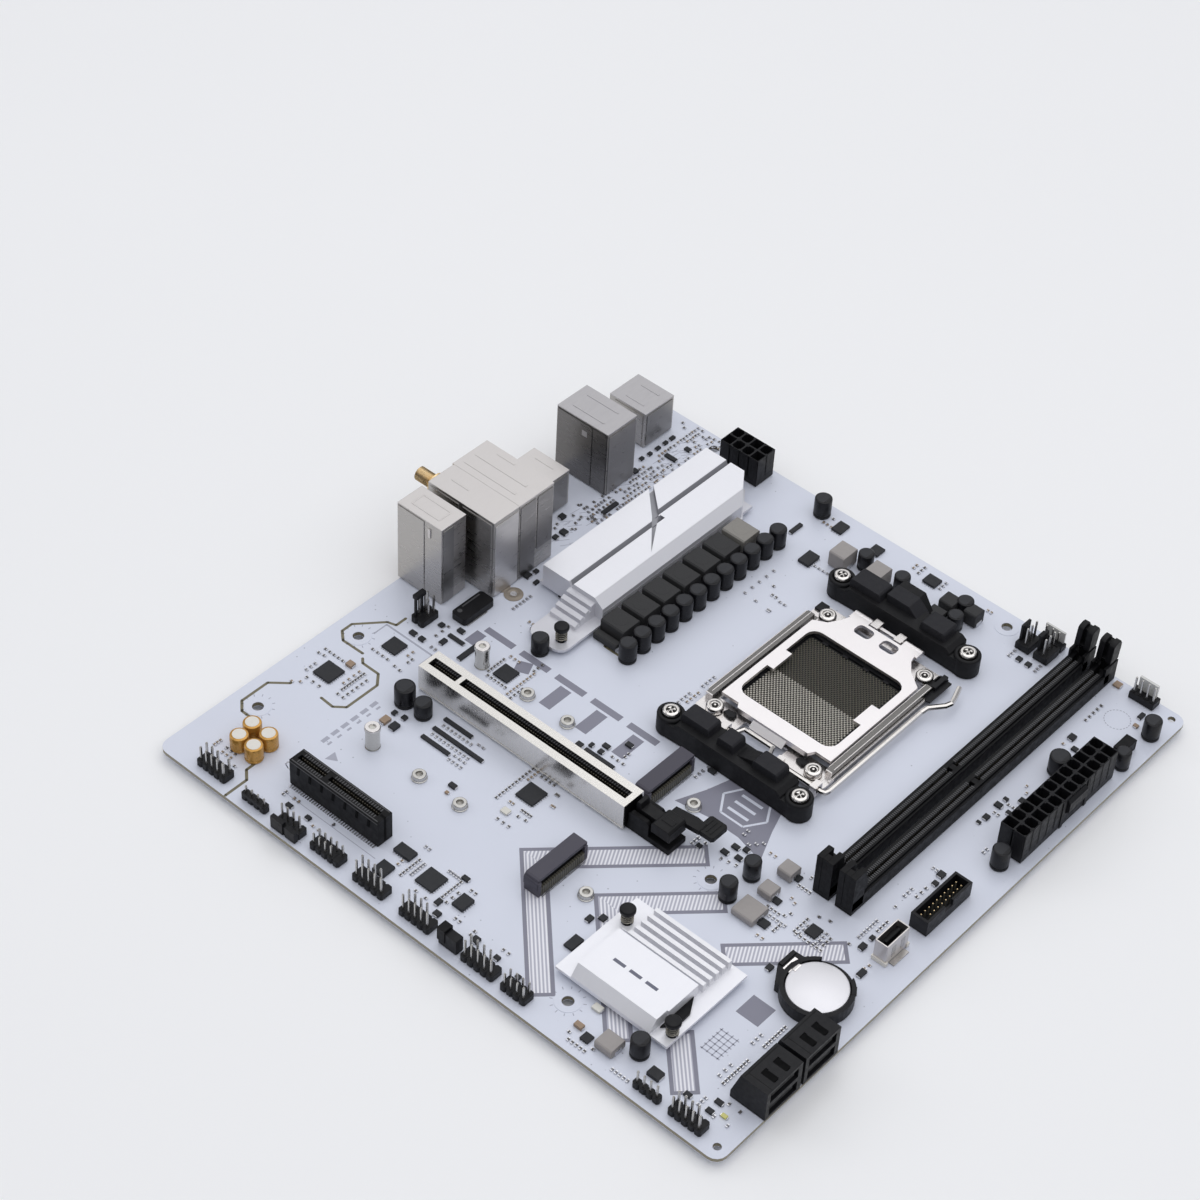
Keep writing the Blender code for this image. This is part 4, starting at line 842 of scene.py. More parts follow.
def make_small_parts():
    """Chips, moulded parts and the resistors and capacitors, in rows and scattered."""
    chips = Piece("board_chips", "chip_epoxy", "can_top", "solder", bevel=0.07,
                  slot="chip_black")
    for row in CHIPS:
        chip(chips, *row)
    chips.done()
    blocks = Piece("board_block_parts", *BLOCK_PARTS, "solder", bevel=0.07, slot="chip_black")
    for look, parts in BLOCK_PARTS.items():
        for part in parts:
            block_part(blocks, *part, look)
    blocks.done()
    tiny = Piece("board_passives", "passive_dark", "passive_tan", "passive_grey", "solder",
                 bevel=0, slot="chip_black")
    for (look, way), rows in PASSIVE_ROWS.items():
        for x, y, step_x, step_y, count in rows:
            for index in range(count):
                passive(tiny, x + step_x * index, y + step_y * index, (1.3, 0.72, 0.5), look,
                        way)
    scatter = random.Random(7)
    for x in line_up(21.6, 2.1, 7):
        y = 175.0
        while y < 240.5:
            y += scatter.uniform(1.25, 2.3)
            near_block = abs(y - 186.6) < 6.0 and 26.0 < x < 30.0
            if near_block or abs(y - 226.3) < 5.6 and 22.0 < x < 29.4 or scatter.random() < 0.2:
                continue
            look = scatter.choice(("passive_dark", "passive_dark", "passive_grey",
                                   "passive_tan"))
            size = (1.3, scatter.uniform(0.6, 0.8), 0.5)
            passive(tiny, x + scatter.uniform(-0.2, 0.2), y, size, look, "x")
    for number in range(26):
        x = scatter.uniform(18.6, 29.6)
        y = scatter.uniform(157.0, 186.0)
        on_a_part = x < 21.0 and 168.0 < y < 175.0 or x > 22.4 and 159.5 < y < 168.0
        if not on_a_part:
            passive(tiny, x, y, (1.25, 0.68, 0.5), "passive_dark", "xy"[number % 2])
    tiny.done()


def can(shape, x, y, radius, height):
    """A black capacitor can: a rolled groove near its foot and a scored, marked top."""
    waist = radius * 0.93
    shape.turned((x, y), (
        (0, 0.1), (radius * 0.94, 0.1), (radius, 0.35), (radius, 1.0), (waist, 1.3),
        (waist, 1.5), (radius, 1.8), (radius, height - 0.55), (radius * 0.97, height - 0.2),
        (radius * 0.88, height), (0, height)), "can_sleeve", 28)
    shape.turned((x, y), ((0, height - 0.1), (radius * 0.8, height - 0.1),
                          (radius * 0.8, height + 0.05), (0, height + 0.05)), "can_top", 28)
    rim = radius * 0.79
    arc = [(x + rim * math.cos(math.radians(turn)), y + rim * math.sin(math.radians(turn)))
           for turn in range(-52, 53, 13)]
    shape.prism(arc, (height, height + 0.09), "can_sleeve")


def make_cans():
    """The capacitor cans: the regulator's row, the loose black ones and the sound section's."""
    row = Piece("regulator_can_row", "can_sleeve", "can_top", "solder", bevel=0,
                slot="black_plastic", replaces=("regulator_capacitors",))
    for y in line_up(134.7, 7.19, 12):
        can(row, 82.0, y, 3.15, 8.1)
        for x in (80.8, 83.2):
            row.block(x, y, 0.3, 0.3, (-0.02, 0.2), "solder")
    row.done()
    loose = Piece("loose_capacitor_cans", "can_sleeve", "can_top", bevel=0,
                  slot="black_plastic")
    for x, y, radius, height in (
            (227.3, 147.6, 3.1, 8.0), (230.4, 228.6, 3.1, 8.0), (231.2, 210.4, 2.6, 7.6),
            (217.2, 194.0, 3.6, 7.6), (173.6, 89.6, 2.9, 8.0), (173.6, 77.9, 3.0, 8.0),
            (43.2, 68.6, 3.6, 8.0), (51.5, 68.6, 3.1, 6.6), (58.6, 116.9, 3.1, 7.0),
            (193.6, 13.9, 3.1, 7.6), (83.3, 237.6, 3.2, 8.0), (111.4, 226.6, 2.9, 7.0),
            (127.4, 226.4, 2.9, 7.0), (150.3, 232.4, 3.0, 6.4), (152.0, 224.4, 2.9, 6.4)):
        can(loose, x, y, radius, height)
    loose.done()
    gold = Piece("audio_capacitor_cans", "gold_sleeve", "cap_white", bevel=0,
                 slot="gold_plate")
    for x, y in ((18.3, 24.4), (25.7, 24.6), (19.3, 17.8), (26.0, 17.8)):
        gold.turned((x, y), ((0, 0.1), (3.0, 0.1), (3.15, 0.4), (3.15, 0.9), (2.9, 1.2),
                             (3.15, 1.5), (3.15, 5.6), (3.0, 6.0), (2.6, 6.2), (0, 6.2)))
        gold.turned((x, y), ((0, 6.1), (2.35, 6.1), (2.25, 6.3), (0, 6.35)), "cap_white", 28)
    gold.done()


def choke(shape, x, y, z, look):
    """A pressed choke: bevelled body over two wrapped end tabs."""
    (low_x, high_x), (low_y, high_y), (foot, top) = x, y, z
    shape.prism([(low_y + 0.2, foot), (high_y - 0.2, foot), (high_y, foot + 0.5),
                 (high_y, top - 0.5), (high_y - 0.5, top), (low_y + 0.5, top),
                 (low_y, top - 0.5), (low_y, foot + 0.5)], (low_x + 0.15, high_x - 0.15),
                look, "x")
    for span in ((low_x, low_x + 0.4), (high_x - 0.4, high_x)):
        shape.box(span, around((low_y + high_y) / 2, 1.5), (0.05, foot + 1.6), "solder")


def make_chokes():
    """The regulator's row of chokes and the loose ones."""
    row = Piece("regulator_choke_row", "ferrite", "ferrite_light", "solder", bevel=0.25,
                slot="dark_ferrite", replaces=("regulator_chokes",))
    for index, y in enumerate(line_up(141.9, 10.55, 7)):
        look = "ferrite_light" if index == 6 else "ferrite"
        choke(row, (67.0, 77.4), around(y, 4.4), (0.5, 6.9), look)
        row.rod((72.2, y), 2.9, (6.8, 6.96), look, sides=28)
    choke(row, (67.0, 77.4), (133.9, 137.0), (0.3, 3.2), "ferrite")
    row.done()
    loose = Piece("loose_chokes", "ferrite_pale", "ferrite", "solder", bevel=0.25,
                  slot="dark_ferrite")
    for look, places in (
            ("ferrite_pale", ((181.6, 98.2, 5.8, 5.6, 4.0), (182.0, 87.8, 5.6, 5.4, 3.6),
                              (182.8, 77.6, 8.8, 8.4, 3.0), (185.6, 9.6, 7.0, 6.6, 3.6),
                              (104.6, 222.2, 7.0, 8.0, 7.0), (119.4, 222.8, 7.0, 8.0, 7.0))),
            ("ferrite", ((145.8, 229.6, 6.0, 6.0, 6.0), (155.0, 231.0, 5.6, 5.4, 6.0),
                         (146.0, 221.4, 6.0, 5.4, 6.0)))):
        for x, y, width, depth, top in places:
            choke(loose, around(x, width / 2), around(y, depth / 2), (0.4, top), look)
    loose.done()


def make_nuts():
    """Soldered nuts that take the screws of shorter cards."""
    nuts = Piece("card_fixing_nuts", "pin_metal", bevel=0.1, slot="bright_steel")
    for place in ((69.9, 48.0), (87.7, 48.1), (141.4, 48.2), (69.9, 98.7), (87.8, 98.5),
                  (141.4, 99.4)):
        nuts.turned(place, ((0, 0.05), (2.7, 0.05), (2.7, 0.35), (2.4, 0.5), (2.4, 1.9),
                            (2.15, 2.15), (1.25, 2.15), (1.15, 2.0), (1.15, 0.7), (0, 0.7)),
                    sides=28)
    nuts.done()


def pins(shape, x, y, columns, rows, base, top, skip=()):
    """A strip of header plastic, one chamfered block a column, with pointed square pins."""
    pitch_x = (x[1] - x[0]) / columns
    pitch_y = (y[1] - y[0]) / rows
    chamfer = pitch_x * 0.22
    for column, middle_x in enumerate(line_up(x[0] + pitch_x / 2, pitch_x, columns)):
        low, high = around(middle_x, pitch_x / 2)
        outline = [(low, y[0] + chamfer), (low + chamfer, y[0]), (high - chamfer, y[0]),
                   (high, y[0] + chamfer), (high, y[1] - chamfer), (high - chamfer, y[1]),
                   (low + chamfer, y[1]), (low, y[1] - chamfer)]
        shape.prism(outline, (0.3, base), "black_moulding")
        for row, middle_y in enumerate(line_up(y[0] + pitch_y / 2, pitch_y, rows)):
            if (column, row) not in skip:
                shape.block(middle_x, middle_y, 0.32, 0.32, (base - 0.3, top - 0.3),
                            "pin_metal")
                shape.rod((middle_x, middle_y), 0.44, (top - 0.31, top), "pin_metal", sides=4,
                          end=0.2)


def make_pin_headers():
    """The headers that have a node each, and the row along the bottom edge."""
    plain = ("black_moulding", "pin_metal")
    for name, node_name, x, y, columns, rows, top, skip in (
            ("front_panel_pins", "front_panel_header", (213.4, 226.0), (3.0, 8.0), 5, 2, 8.5,
             ((4, 1),)),
            ("audio_pins", "audio_header", (15.0, 27.8), (3.0, 8.0), 5, 2, 8.5, ((3, 1),)),
            ("tall_pins", "tall_header", (17.4, 23.2), (97.2, 105.4), 2, 3, 10.4,
             ((0, 0), (0, 1), (1, 0)))):
        header = Piece(name, *plain, bevel=0, slot="black_plastic", replaces=(node_name,))
        pins(header, x, y, columns, rows, 2.6, top, skip)
        if name == "tall_pins":
            header.box((18.0, 19.9), (97.8, 102.4), (10.6, 12.2), "black_moulding")
            for low in (98.0, 100.9):
                header.box((18.5, 19.3), (low, low + 0.7), (2.4, 10.8), "black_moulding")
                header.box((19.4, 19.9), (low + 0.9, low + 1.4), (2.4, 10.8), "pin_metal")
        header.done()
    row = Piece("bottom_edge_headers", *plain, "slot_black", bevel=0.1,
                slot="black_plastic")
    for x, y, columns, rows, top, skip in (
            ((66.0, 78.7), (3.0, 8.0), 5, 2, 7.2, ((4, 0),)),
            ((84.6, 97.8), (3.0, 8.2), 5, 2, 9.4, ((4, 1),)),
            ((104.6, 117.4), (3.0, 8.2), 5, 2, 9.4, ((4, 1),)),
            ((130.6, 144.0), (3.0, 8.2), 5, 2, 9.4, ((4, 1),)),
            ((147.0, 157.2), (3.0, 8.0), 4, 2, 7.6, ()),
            ((199.6, 209.8), (3.2, 5.8), 4, 1, 7.6, ())):
        pins(row, x, y, columns, rows, 2.6, top, skip)
    pins(row, (35.6, 46.4), (2.8, 5.6), 4, 1, 2.8, 6.0)
    row.box((36.4, 45.6), (2.6, 3.0), (2.4, 3.6), "black_moulding")
    pins(row, (51.4, 61.8), (2.6, 6.9), 4, 1, 2.8, 9.4)
    row.box((51.2, 56.6), (0.9, 2.5), (0.3, 5.4), "black_moulding")
    row.box((57.6, 61.9), (0.9, 2.5), (0.3, 4.7), "black_moulding")
    row.box((56.4, 57.8), (1.3, 2.5), (0.3, 4.2), "slot_black")
    row.box((121.6, 129.0), (3.4, 6.6), (0.3, 6.4), "black_moulding")
    row.box((121.2, 124.4), (3.1, 6.9), (2.2, 7.6), "slot_black")
    row.done()


def make_lamp():
    """The small lamp in the bottom front corner."""
    lamp = Piece("status_lamp", "glow_yellow", "solder", bevel=0.1)
    lamp.box((225.4, 227.4), (13.0, 14.4), (0.1, 0.8), "glow_yellow")
    for low in (224.9, 227.2):
        lamp.box((low, low + 0.6), (13.1, 14.3), (0.03, 0.45), "solder")
    lamp.done()


# --- Heatsinks and their pins -------------------------------------------------------------


def push_pin(name, node_name, x, y, base):
    """A split barbed pin with a domed head, standing on its spring."""
    pin = Piece(name, "black_moulding", "spring_wire", bevel=0.08, slot="black_plastic",
                replaces=(node_name,))
    pin.turned((x, y), ((0, 7.6), (2.5, 7.6), (2.6, 7.9), (2.6, 8.8), (2.3, 9.2), (1.5, 9.4),
                        (0, 9.4)), "black_moulding", 28)
    pin.rod((x, y), 1.2, (-2.2, 7.7), "black_moulding", sides=20)
    for sign in (-1, 1):
        outline = [(x + sign * 0.15, -2.2), (x + sign * 1.35, -2.3), (x + sign * 0.7, -3.4),
                   (x + sign * 0.15, -3.4)]
        pin.prism(outline, (y - 0.8, y + 0.8), "black_moulding", "y")
    turns, steps = 4.5, 18
    coil = []
    for index in range(int(turns * steps) + 1):
        angle = 2 * math.pi * index / steps
        level = base + 0.35 + (7.2 - base - 0.35) * index / (turns * steps)
        coil.append((x + 1.85 * math.cos(angle), y + 1.85 * math.sin(angle), level))
    pin.tube(coil, 0.24, "spring_wire", 6)
    pin.done()


def make_heatsink_details():
    """Both heatsinks' push-pins, the ridges on one and the plain mark on the other."""
    push_pin("regulator_pin", "regulator_push_pin", 61.5, 124.2, 2.7)
    push_pin("chipset_pin_1", "chipset_push_pin_1", 158.9, 47.4, 3.0)
    push_pin("chipset_pin_2", "chipset_push_pin_2", 197.0, 24.4, 3.0)
    ridges = Piece("regulator_heatsink_ridges", "bare_metal", bevel=0.05,
                   slot="white_aluminium")
    for low in (65.6, 66.0):
        ridges.box((low, low + 0.2), (141.0, 209.0), (2.7, 3.0))
    for z in (3.6, 4.6, 5.6):
        ridges.box((65.4, 65.62), (141.0, 209.4), (z, z + 0.35))
    ridges.done()
    mark = Piece("chipset_panel_mark", "print_dark", "slot_black", bevel=0,
                 slot="white_aluminium")
    for x in line_up(168.0, 6.4, 3):
        mark.box((x, x + 4.6), (30.2, 31.4), (7.38, 7.42))
    mark.prism([(193.1, 23.4), (196.6, 27.4), (196.4, 33.2), (193.1, 38.8)], (3.0, 3.9),
               "slot_black")
    mark.done()


# --- Rear connectors ----------------------------------------------------------------------


def shield(name, node_name, x, y, top, mouths, panels=(), ribs=(), windows=()):
    """A folded tinplate shield with port mouths in its rear face.

    mouths are (y span, z span) openings, panels are proud (side, along span, z span) folds,
    ribs are embossed (x span, y span) ridges on the top, and windows are the (x span, z span)
    catches pressed into the side. The top, its ribs and the catches are painted light with the
    lighter copy of the tin, and the +X folds are painted shade with the darker copy.
    """
    shell = Piece(name, "tin", "tin_painted_light", "tin_painted_shade", bevel=0, slot="shield_steel",
                  replaces=(node_name,))
    shell.box((x[0] + 0.25, x[1]), y, (0.5, top - 0.3), "tin")
    # The lid and the ribs on it are the lighter tin copy: painted light.
    shell.box((x[0] + 0.1, x[1] + 0.06), (y[0] - 0.06, y[1] + 0.06), (top - 0.55, top - 0.12),
              "tin_painted_light")
    face = x[0]
    shell.box((face, face + 0.5), y, (0.3, top - 0.2), "tin")
    for low, high in ribs:
        shell.box(low, high, (top - 0.3, top), "tin_painted_light")
    for side, along, z in panels:
        if side == "s":
            shell.box(along, (y[0] - 0.28, y[0] + 0.1), z, "tin")
        else:
            # The +X folds are the darker tin copy: painted shade.
            shell.box((x[1] - 0.1, x[1] + 0.28), along, z, "tin_painted_shade")
    for along, z in windows:
        # The catches are the lighter tin copy: painted light.
        shell.box(along, (y[0] - 0.34, y[0] + 0.1), z, "tin_painted_light")
    for step in line_up(x[0] + 4.0, (x[1] - x[0] - 6.0) / 2, 3):
        for edge in (y[0] + 0.1, y[1] - 0.5):
            shell.box((step, step + 1.6), (edge, edge + 0.4), (-0.02, 0.8), "tin")
    made = shell.done()
    carve(made, [box_cutter((face - 2.0, face + 11.0), *mouth) for mouth in mouths])
    soften(made, 0.14)


def usb_tongue(shape, y, z, face, look):
    """One socket's lining, tongue with four contacts and its springy lips."""
    middle = sum(y) / 2
    low, high = z
    shape.box((face + 10.6, face + 11.2), y, z, look)
    shape.box((face + 1.0, face + 11.0), around(middle, 5.2), (high - 2.5, high - 0.6), look)
    for offset in (-3.5, -1.2, 1.2, 3.5):
        shape.box((face + 1.4, face + 9.0), around(middle + offset, 0.5),
                  (high - 2.62, high - 2.45), "gold")
    for offset in (-4.0, 4.0):
        shape.box((face - 0.1, face + 2.6), around(middle + offset, 1.1), around(low, 0.12),
                  "tin")
    for edge in y:
        shape.box((face - 0.1, face + 2.2), around(edge, 0.1), (low + 1.2, high - 1.4), "tin")


TALL_STACK = 34.4
NETWORK_USB = ((139.15, 151.75), (4.2, 9.4)), ((139.15, 151.75), (12.2, 17.4))
MIDDLE_USB = ((164.9, 177.5), (1.6, 6.8)), ((164.9, 177.5), (8.9, 14.1))
UPPER_USB = ((221.2, 233.8), (1.6, 6.8)), ((221.2, 233.8), (8.9, 14.1))


def make_rear_stacks():
    """The shields along the rear edge, and what shows inside their mouths."""
    shield("audio_jack_stack", "audio_stack", (-1.0, 19.6), (109.9, 121.5), TALL_STACK,
           (), (("s", (-0.6, 11.6), (0.6, 33.4)), ("e", (110.6, 115.6), (0.6, 33.2))),
           (((3.0, 15.4), (112.6, 113.2)), ((3.0, 15.4), (118.2, 118.8)),
            ((2.6, 3.2), (112.8, 118.6)), ((15.2, 15.8), (112.8, 118.6))),
           (((13.4, 14.6), (27.6, 31.6)),))
    shield("antenna_shield", "antenna_block", (-1.0, 29.6), (124.6, 136.9), TALL_STACK,
           (), (("s", (0.0, 13.4), (0.6, 33.0)), ("s", (15.0, 28.6), (0.6, 33.0)),
                ("e", (125.2, 136.4), (0.6, 32.4))),
           (((4.0, 12.0), (130.4, 131.0)),))
    shield("network_usb_stack", "network_stack", (-1.6, 29.6), (137.0, 153.9), TALL_STACK,
           (((139.4, 151.5), (21.6, 32.6)), *NETWORK_USB),
           (("e", (137.6, 145.0), (0.6, 32.8)), ("e", (146.0, 153.4), (9.0, 32.8))),
           (((1.0, 24.4), (140.0, 141.2)), ((1.0, 24.4), (145.4, 146.6)),
            ((6.0, 14.0), (150.8, 151.6))))
    shield("middle_usb_shield", "middle_usb_stack", (-1.6, 15.2), (164.0, 178.4), 16.0,
           MIDDLE_USB,
           (("s", (0.4, 14.0), (1.0, 14.6)), ("e", (165.0, 177.4), (1.0, 14.8))),
           (((2.6, 11.0), (167.2, 168.0)), ((2.6, 11.0), (174.4, 175.2))),
           (((5.0, 8.6), (9.6, 11.0)),))
    shield("display_shield", "display_stack", (-2.0, 21.8), (190.6, 205.8), 28.4,
           (((191.8, 204.6), (4.4, 9.4)), ((191.8, 204.7), (17.6, 22.8))),
           (("s", (-1.4, 14.6), (0.6, 27.2)), ("s", (15.2, 21.4), (0.6, 27.2)),
            ("e", (191.2, 205.2), (0.6, 26.8))),
           (((2.0, 16.6), (194.0, 194.6)), ((2.0, 16.6), (201.6, 202.2))),
           (((10.0, 12.4), (21.6, 24.0)),))
    shield("upper_usb_shield", "upper_usb_stack", (-2.6, 14.6), (219.8, 235.2), 16.0,
           UPPER_USB,
           (("s", (0.0, 13.4), (1.0, 14.6)), ("e", (220.6, 234.4), (1.0, 14.8))),
           (((2.4, 10.8), (222.8, 223.6)), ((2.4, 10.8), (231.0, 231.8))),
           (((4.0, 7.6), (9.6, 11.0)),))
    liners = Piece("rear_socket_tongues", "slot_black", "gold", "tin", "port_blue", bevel=0.08,
                   slot="black_plastic")
    for mouths, face, look in ((NETWORK_USB, -1.6, "port_blue"),
                               (MIDDLE_USB, -1.6, "slot_black"),
                               (UPPER_USB, -2.6, "slot_black")):
        for mouth in mouths:
            usb_tongue(liners, *mouth, face, look)
    for z in ((4.4, 9.4), (17.6, 22.8)):
        middle = sum(z) / 2
        liners.box((7.6, 8.2), (191.9, 204.6), z, "slot_black")
        liners.box((-1.0, 8.0), (193.8, 202.8), around(middle, 0.5), "slot_black")
        for y in line_up(194.4, 0.88, 10):
            liners.box((-0.8, 6.0), (y, y + 0.3), (middle + 0.45, middle + 0.58), "gold")
    liners.box((8.4, 9.0), (139.5, 151.4), (21.7, 32.5), "slot_black")
    for y in line_up(141.4, 1.05, 8):
        liners.tube([(8.6, y, 31.8), (3.0, y, 31.6), (1.6, y, 30.9), (5.6, y, 28.4)], 0.2,
                    "gold", 6)
    liners.done()
    jacks = Piece("audio_jack_barrels", "slot_black", "port_blue", "port_green", "port_pink",
                  bevel=0.1, slot="black_plastic")
    for z, look in ((6.6, "port_pink"), (17.3, "port_green"), (28.0, "port_blue")):
        centre = (115.7, z)
        jacks.turned(centre, ((0, 8.6), (1.75, 8.6), (1.75, -2.2), (2.1, -2.5), (3.0, -2.5),
                              (3.3, -2.2), (3.3, -1.0), (0, -1.0)), look, 32, "x")
        jacks.turned(centre, ((0, -0.9), (3.9, -0.9), (4.1, -1.1), (4.1, -1.3), (0, -1.3)),
                     "slot_black", 32, "x")
        jacks.turned(centre, ((0, -0.6), (1.78, -0.6), (1.78, -0.7), (0, -0.7)),
                     "slot_black", 24, "x")
    jacks.done()
    lamps = Piece("network_lamps", "glow_yellow", "port_green", bevel=0.1)
    for y, look in ((138.1, "glow_yellow"), (152.8, "port_green")):
        lamps.box((-1.62, -1.3), around(y, 0.5), (30.4, 32.6), look)
    lamps.done()


def make_antenna_connectors():
    """Threaded sockets with a hexagon nut, a flange and an insulated centre contact."""
    for number, z in enumerate((14.8, 28.0), 1):
        name = f"antenna_connector_{number}"
        centre = (130.6, z)
        socket = Piece(f"threaded_{name}", "gold", "cap_white", bevel=0.05,
                       slot="gold_plate", replaces=(name,))
        profile = [(0, -6.4), (1.95, -6.4), (1.95, -11.0), (2.4, -11.0)]
        for x in line_up(-10.8, 0.5, 13):
            profile += [(2.7, x), (2.45, x + 0.25)]
        profile += [(2.45, -4.1), (3.1, -3.9), (3.1, -1.2), (0, -1.2)]
        socket.turned(centre, profile, "gold", 32, "x")
        socket.rod(centre, 4.2, (-3.2, -1.3), "gold", "x", 6)
        socket.turned(centre, ((0, -1.9), (3.8, -1.9), (4.1, -3.35), (3.1, -3.5), (0, -3.5)),
                      "gold", 32, "x")
        socket.turned(centre, ((0, -6.3), (1.9, -6.3), (1.9, -9.6), (0.55, -9.6),
                               (0.55, -7.0), (0, -7.0)), "cap_white", 24, "x")
        socket.rod(centre, 0.42, (-10.2, -6.3), "gold", "x", 12, 0.3)
        socket.done()


# --- Processor socket ---------------------------------------------------------------------

CPU = (140.2, 165.4)
BRACKET_SCREWS = ((113.2, 120.4), (167.2, 120.4), (113.2, 210.4), (167.2, 210.4))
FRAME_SCREWS = ((119.4, 135.6), (161.0, 135.6), (119.4, 195.2), (161.0, 195.2))


def make_socket():
    """The processor socket's contact field, seat ribs and the trim round its frame."""
    field = Piece("socket_contacts", "contact_base", "contact_painted_shade", "contact_painted_light", bevel=0,
                  slot="black_plastic")
    x, y = CPU
    field.block(x, y, 19.2, 19.2, (2.5, 2.66))
    for row, place_y in enumerate(line_up(y - 18.6, 0.78, 48)):
        # Rows below y 163.6 take the lighter contact copy and stand a little wider: painted
        # light. The rest take the darker copy: painted shade.
        light = place_y < 163.6
        look, half = ("contact_painted_light", 0.24) if light else ("contact_painted_shade", 0.15)
        for place_x in line_up(x - 18.6 + 0.62 * (row % 2), 1.24, 30):
            outline = [(place_x - 0.44, 2.62), (place_x + 0.38, 2.62), (place_x + 0.42, 3.16),
                       (place_x + 0.1, 3.2)]
            field.prism(outline, around(place_y, half), look, "y")
    field.done()
    walls = Piece("socket_seat_ribs", "black_moulding", bevel=0.12, slot="black_plastic")
    for edge in both_sides(y, 18.2, 19.3):
        for offset in (-13.0, -4.4, 4.4, 13.0):
            walls.box(around(x + offset, 1.2), edge, (2.6, 3.5))
    for edge in both_sides(x, 18.5, 19.3):
        for span in ((y - 9.0, y - 6.4), (y + 7.0, y + 9.6)):
            walls.box(edge, span, (2.6, 3.5))
    walls.done()
    trim = Piece("socket_frame_trim", "black_moulding", "nickel", bevel=0.12,
                 slot="black_plastic")
    for span in ((113.0, 116.6), (164.2, 167.6)):
        trim.box(span, (196.2, 200.2), (2.0, 2.9))
    trim.box((165.6, 167.4), (192.6, 200.0), (2.0, 4.4))
    for low in (122.6, 153.4):
        trim.prism([(low, 136.2), (low + 0.8, 138.2), (low + 4.0, 138.4), (low + 4.6, 136.4),
                    (low + 3.0, 135.4)], (2.15, 3.3))
    for low in (113.0, 114.6, 164.0, 166.1):
        trim.box((low, low + 0.35), (139.6, 191.6), (4.4, 4.75), "nickel")
    trim.box((166.7, 167.5), (136.0, 192.0), (2.0, 2.7), "nickel")
    trim.prism([(163.6, 193.4), (167.4, 187.0), (169.3, 187.4), (169.3, 199.6),
                (163.8, 199.6)], (2.15, 2.9))
    trim.done()


def machine_screw(name, node_name, centre, radius, z, cross):
    """A pan-head screw with a cross or hexagon recess, its shank below."""
    screw = Piece(name, "wire_nickel", "recess", bevel=0.06, slot="bright_steel",
                  replaces=(node_name,))
    low, high = z
    rim = radius * 0.62
    screw.turned(centre, ((0, low), (radius, low), (radius, high - 0.7),
                          (radius * 0.93, high - 0.25), (radius * 0.8, high), (rim, high),
                          (rim * 0.8, high - 0.5), (0, high - 0.6)), sides=36)
    # The recess is a dark solid set into the dished head: painted shade.
    if cross:
        for turn in (20, 110):
            screw.block(*centre, radius * 0.58, 0.42, (high - 0.62, high - 0.28), "recess",
                        turn)
        for turn in (65, 155):
            screw.block(*centre, radius * 0.3, 0.16, (high - 0.62, high - 0.2), turn=turn)
    else:
        screw.rod(centre, radius * 0.42, (high - 0.62, high - 0.4), "recess", sides=6)
        screw.turned(centre, ((0, high - 0.6), (0.5, high - 0.6), (0.4, high - 0.2),
                              (0, high - 0.15)), sides=16)
    screw.rod(centre, radius * 0.45, (-2.6, low + 0.1), sides=20)
    screw.done()


def make_socket_screws():
    """The four bracket screws, cross-headed, and the four hexagon ones of the frame."""
    for number, place in enumerate(BRACKET_SCREWS, 1):
        machine_screw(f"bracket_screw_{number}", f"cooler_bracket_screw_{number}", place, 3.0,
                      (6.9, 9.1), True)
    for number, place in enumerate(FRAME_SCREWS, 1):
        machine_screw(f"frame_screw_{number}", f"socket_frame_screw_{number}", place, 3.1,
                      (2.5, 4.7), False)


def make_brackets():
    """Black moulded cooler brackets: a beam with raised blocks and a post at each end."""
    x = CPU[0]
    for name, y, pads, pad_y in (
            ("lower", 120.4, ((118.5, 129.9), (133.8, 140.2), (148.5, 158.4)), (119.0, 125.6)),
            ("upper", 210.4, ((118.3, 130.8), (148.5, 158.3)), (208.0, 215.5))):
        bracket = Piece(f"{name}_bracket_moulding", "bracket_black", "bracket_pad", bevel=0.35,
                        slot="black_plastic", replaces=(f"{name}_cooler_bracket",))
        beam = [(x - 22.5, 0.3), (x + 22.5, 0.3), (x + 22.5, 7.4), (x + 20.6, 8.8),
                (x - 20.6, 8.8), (x - 22.5, 7.4)]
        bracket.prism(beam, (y - 4.2, y + 5.6), axis="y")
        bracket.block(x, y, 27.0, 3.0, (0.3, 6.2))
        for low, high in pads:
            pad = [(low - 0.5, 8.4), (high + 0.5, 8.4), (high, 11.4), (high - 0.6, 12.0),
                   (low + 0.6, 12.0), (low, 11.4)]
            bracket.prism(pad, pad_y, "bracket_pad", "y")
        for sign in (-1, 1):
            post, near, far = x + sign * 27.0, x + sign * 20.0, x + sign * 25.6
            bracket.turned((post, y), ((0, 0.3), (4.7, 0.3), (4.7, 7.6), (4.3, 8.0),
                                       (3.5, 8.0), (3.4, 7.8), (3.4, 6.7), (0, 6.7)),
                           sides=40)
            bracket.prism([(near, y - 4.2), (far, y - 4.5), (far, y + 4.5), (near, y + 4.2)],
                          (0.3, 6.8))
        if name == "lower":
            ramp = [(140.2, 8.4), (149.0, 8.4), (149.0, 11.2)]
            bracket.prism(ramp, (119.6, 125.0), axis="y")
        else:
            hood = [(132.0, 8.0), (146.0, 8.0), (141.4, 12.0), (132.0, 12.0)]
            bracket.prism(hood, (210.6, 217.0), "bracket_pad", "y")
            outer = [(132.0, 5.2), (145.6, 5.2), (141.2, 11.9), (132.2, 11.9)]
            bracket.prism(outer, (216.6, 220.6), axis="y")
        bracket.done()


# --- Memory and expansion slots -----------------------------------------------------------


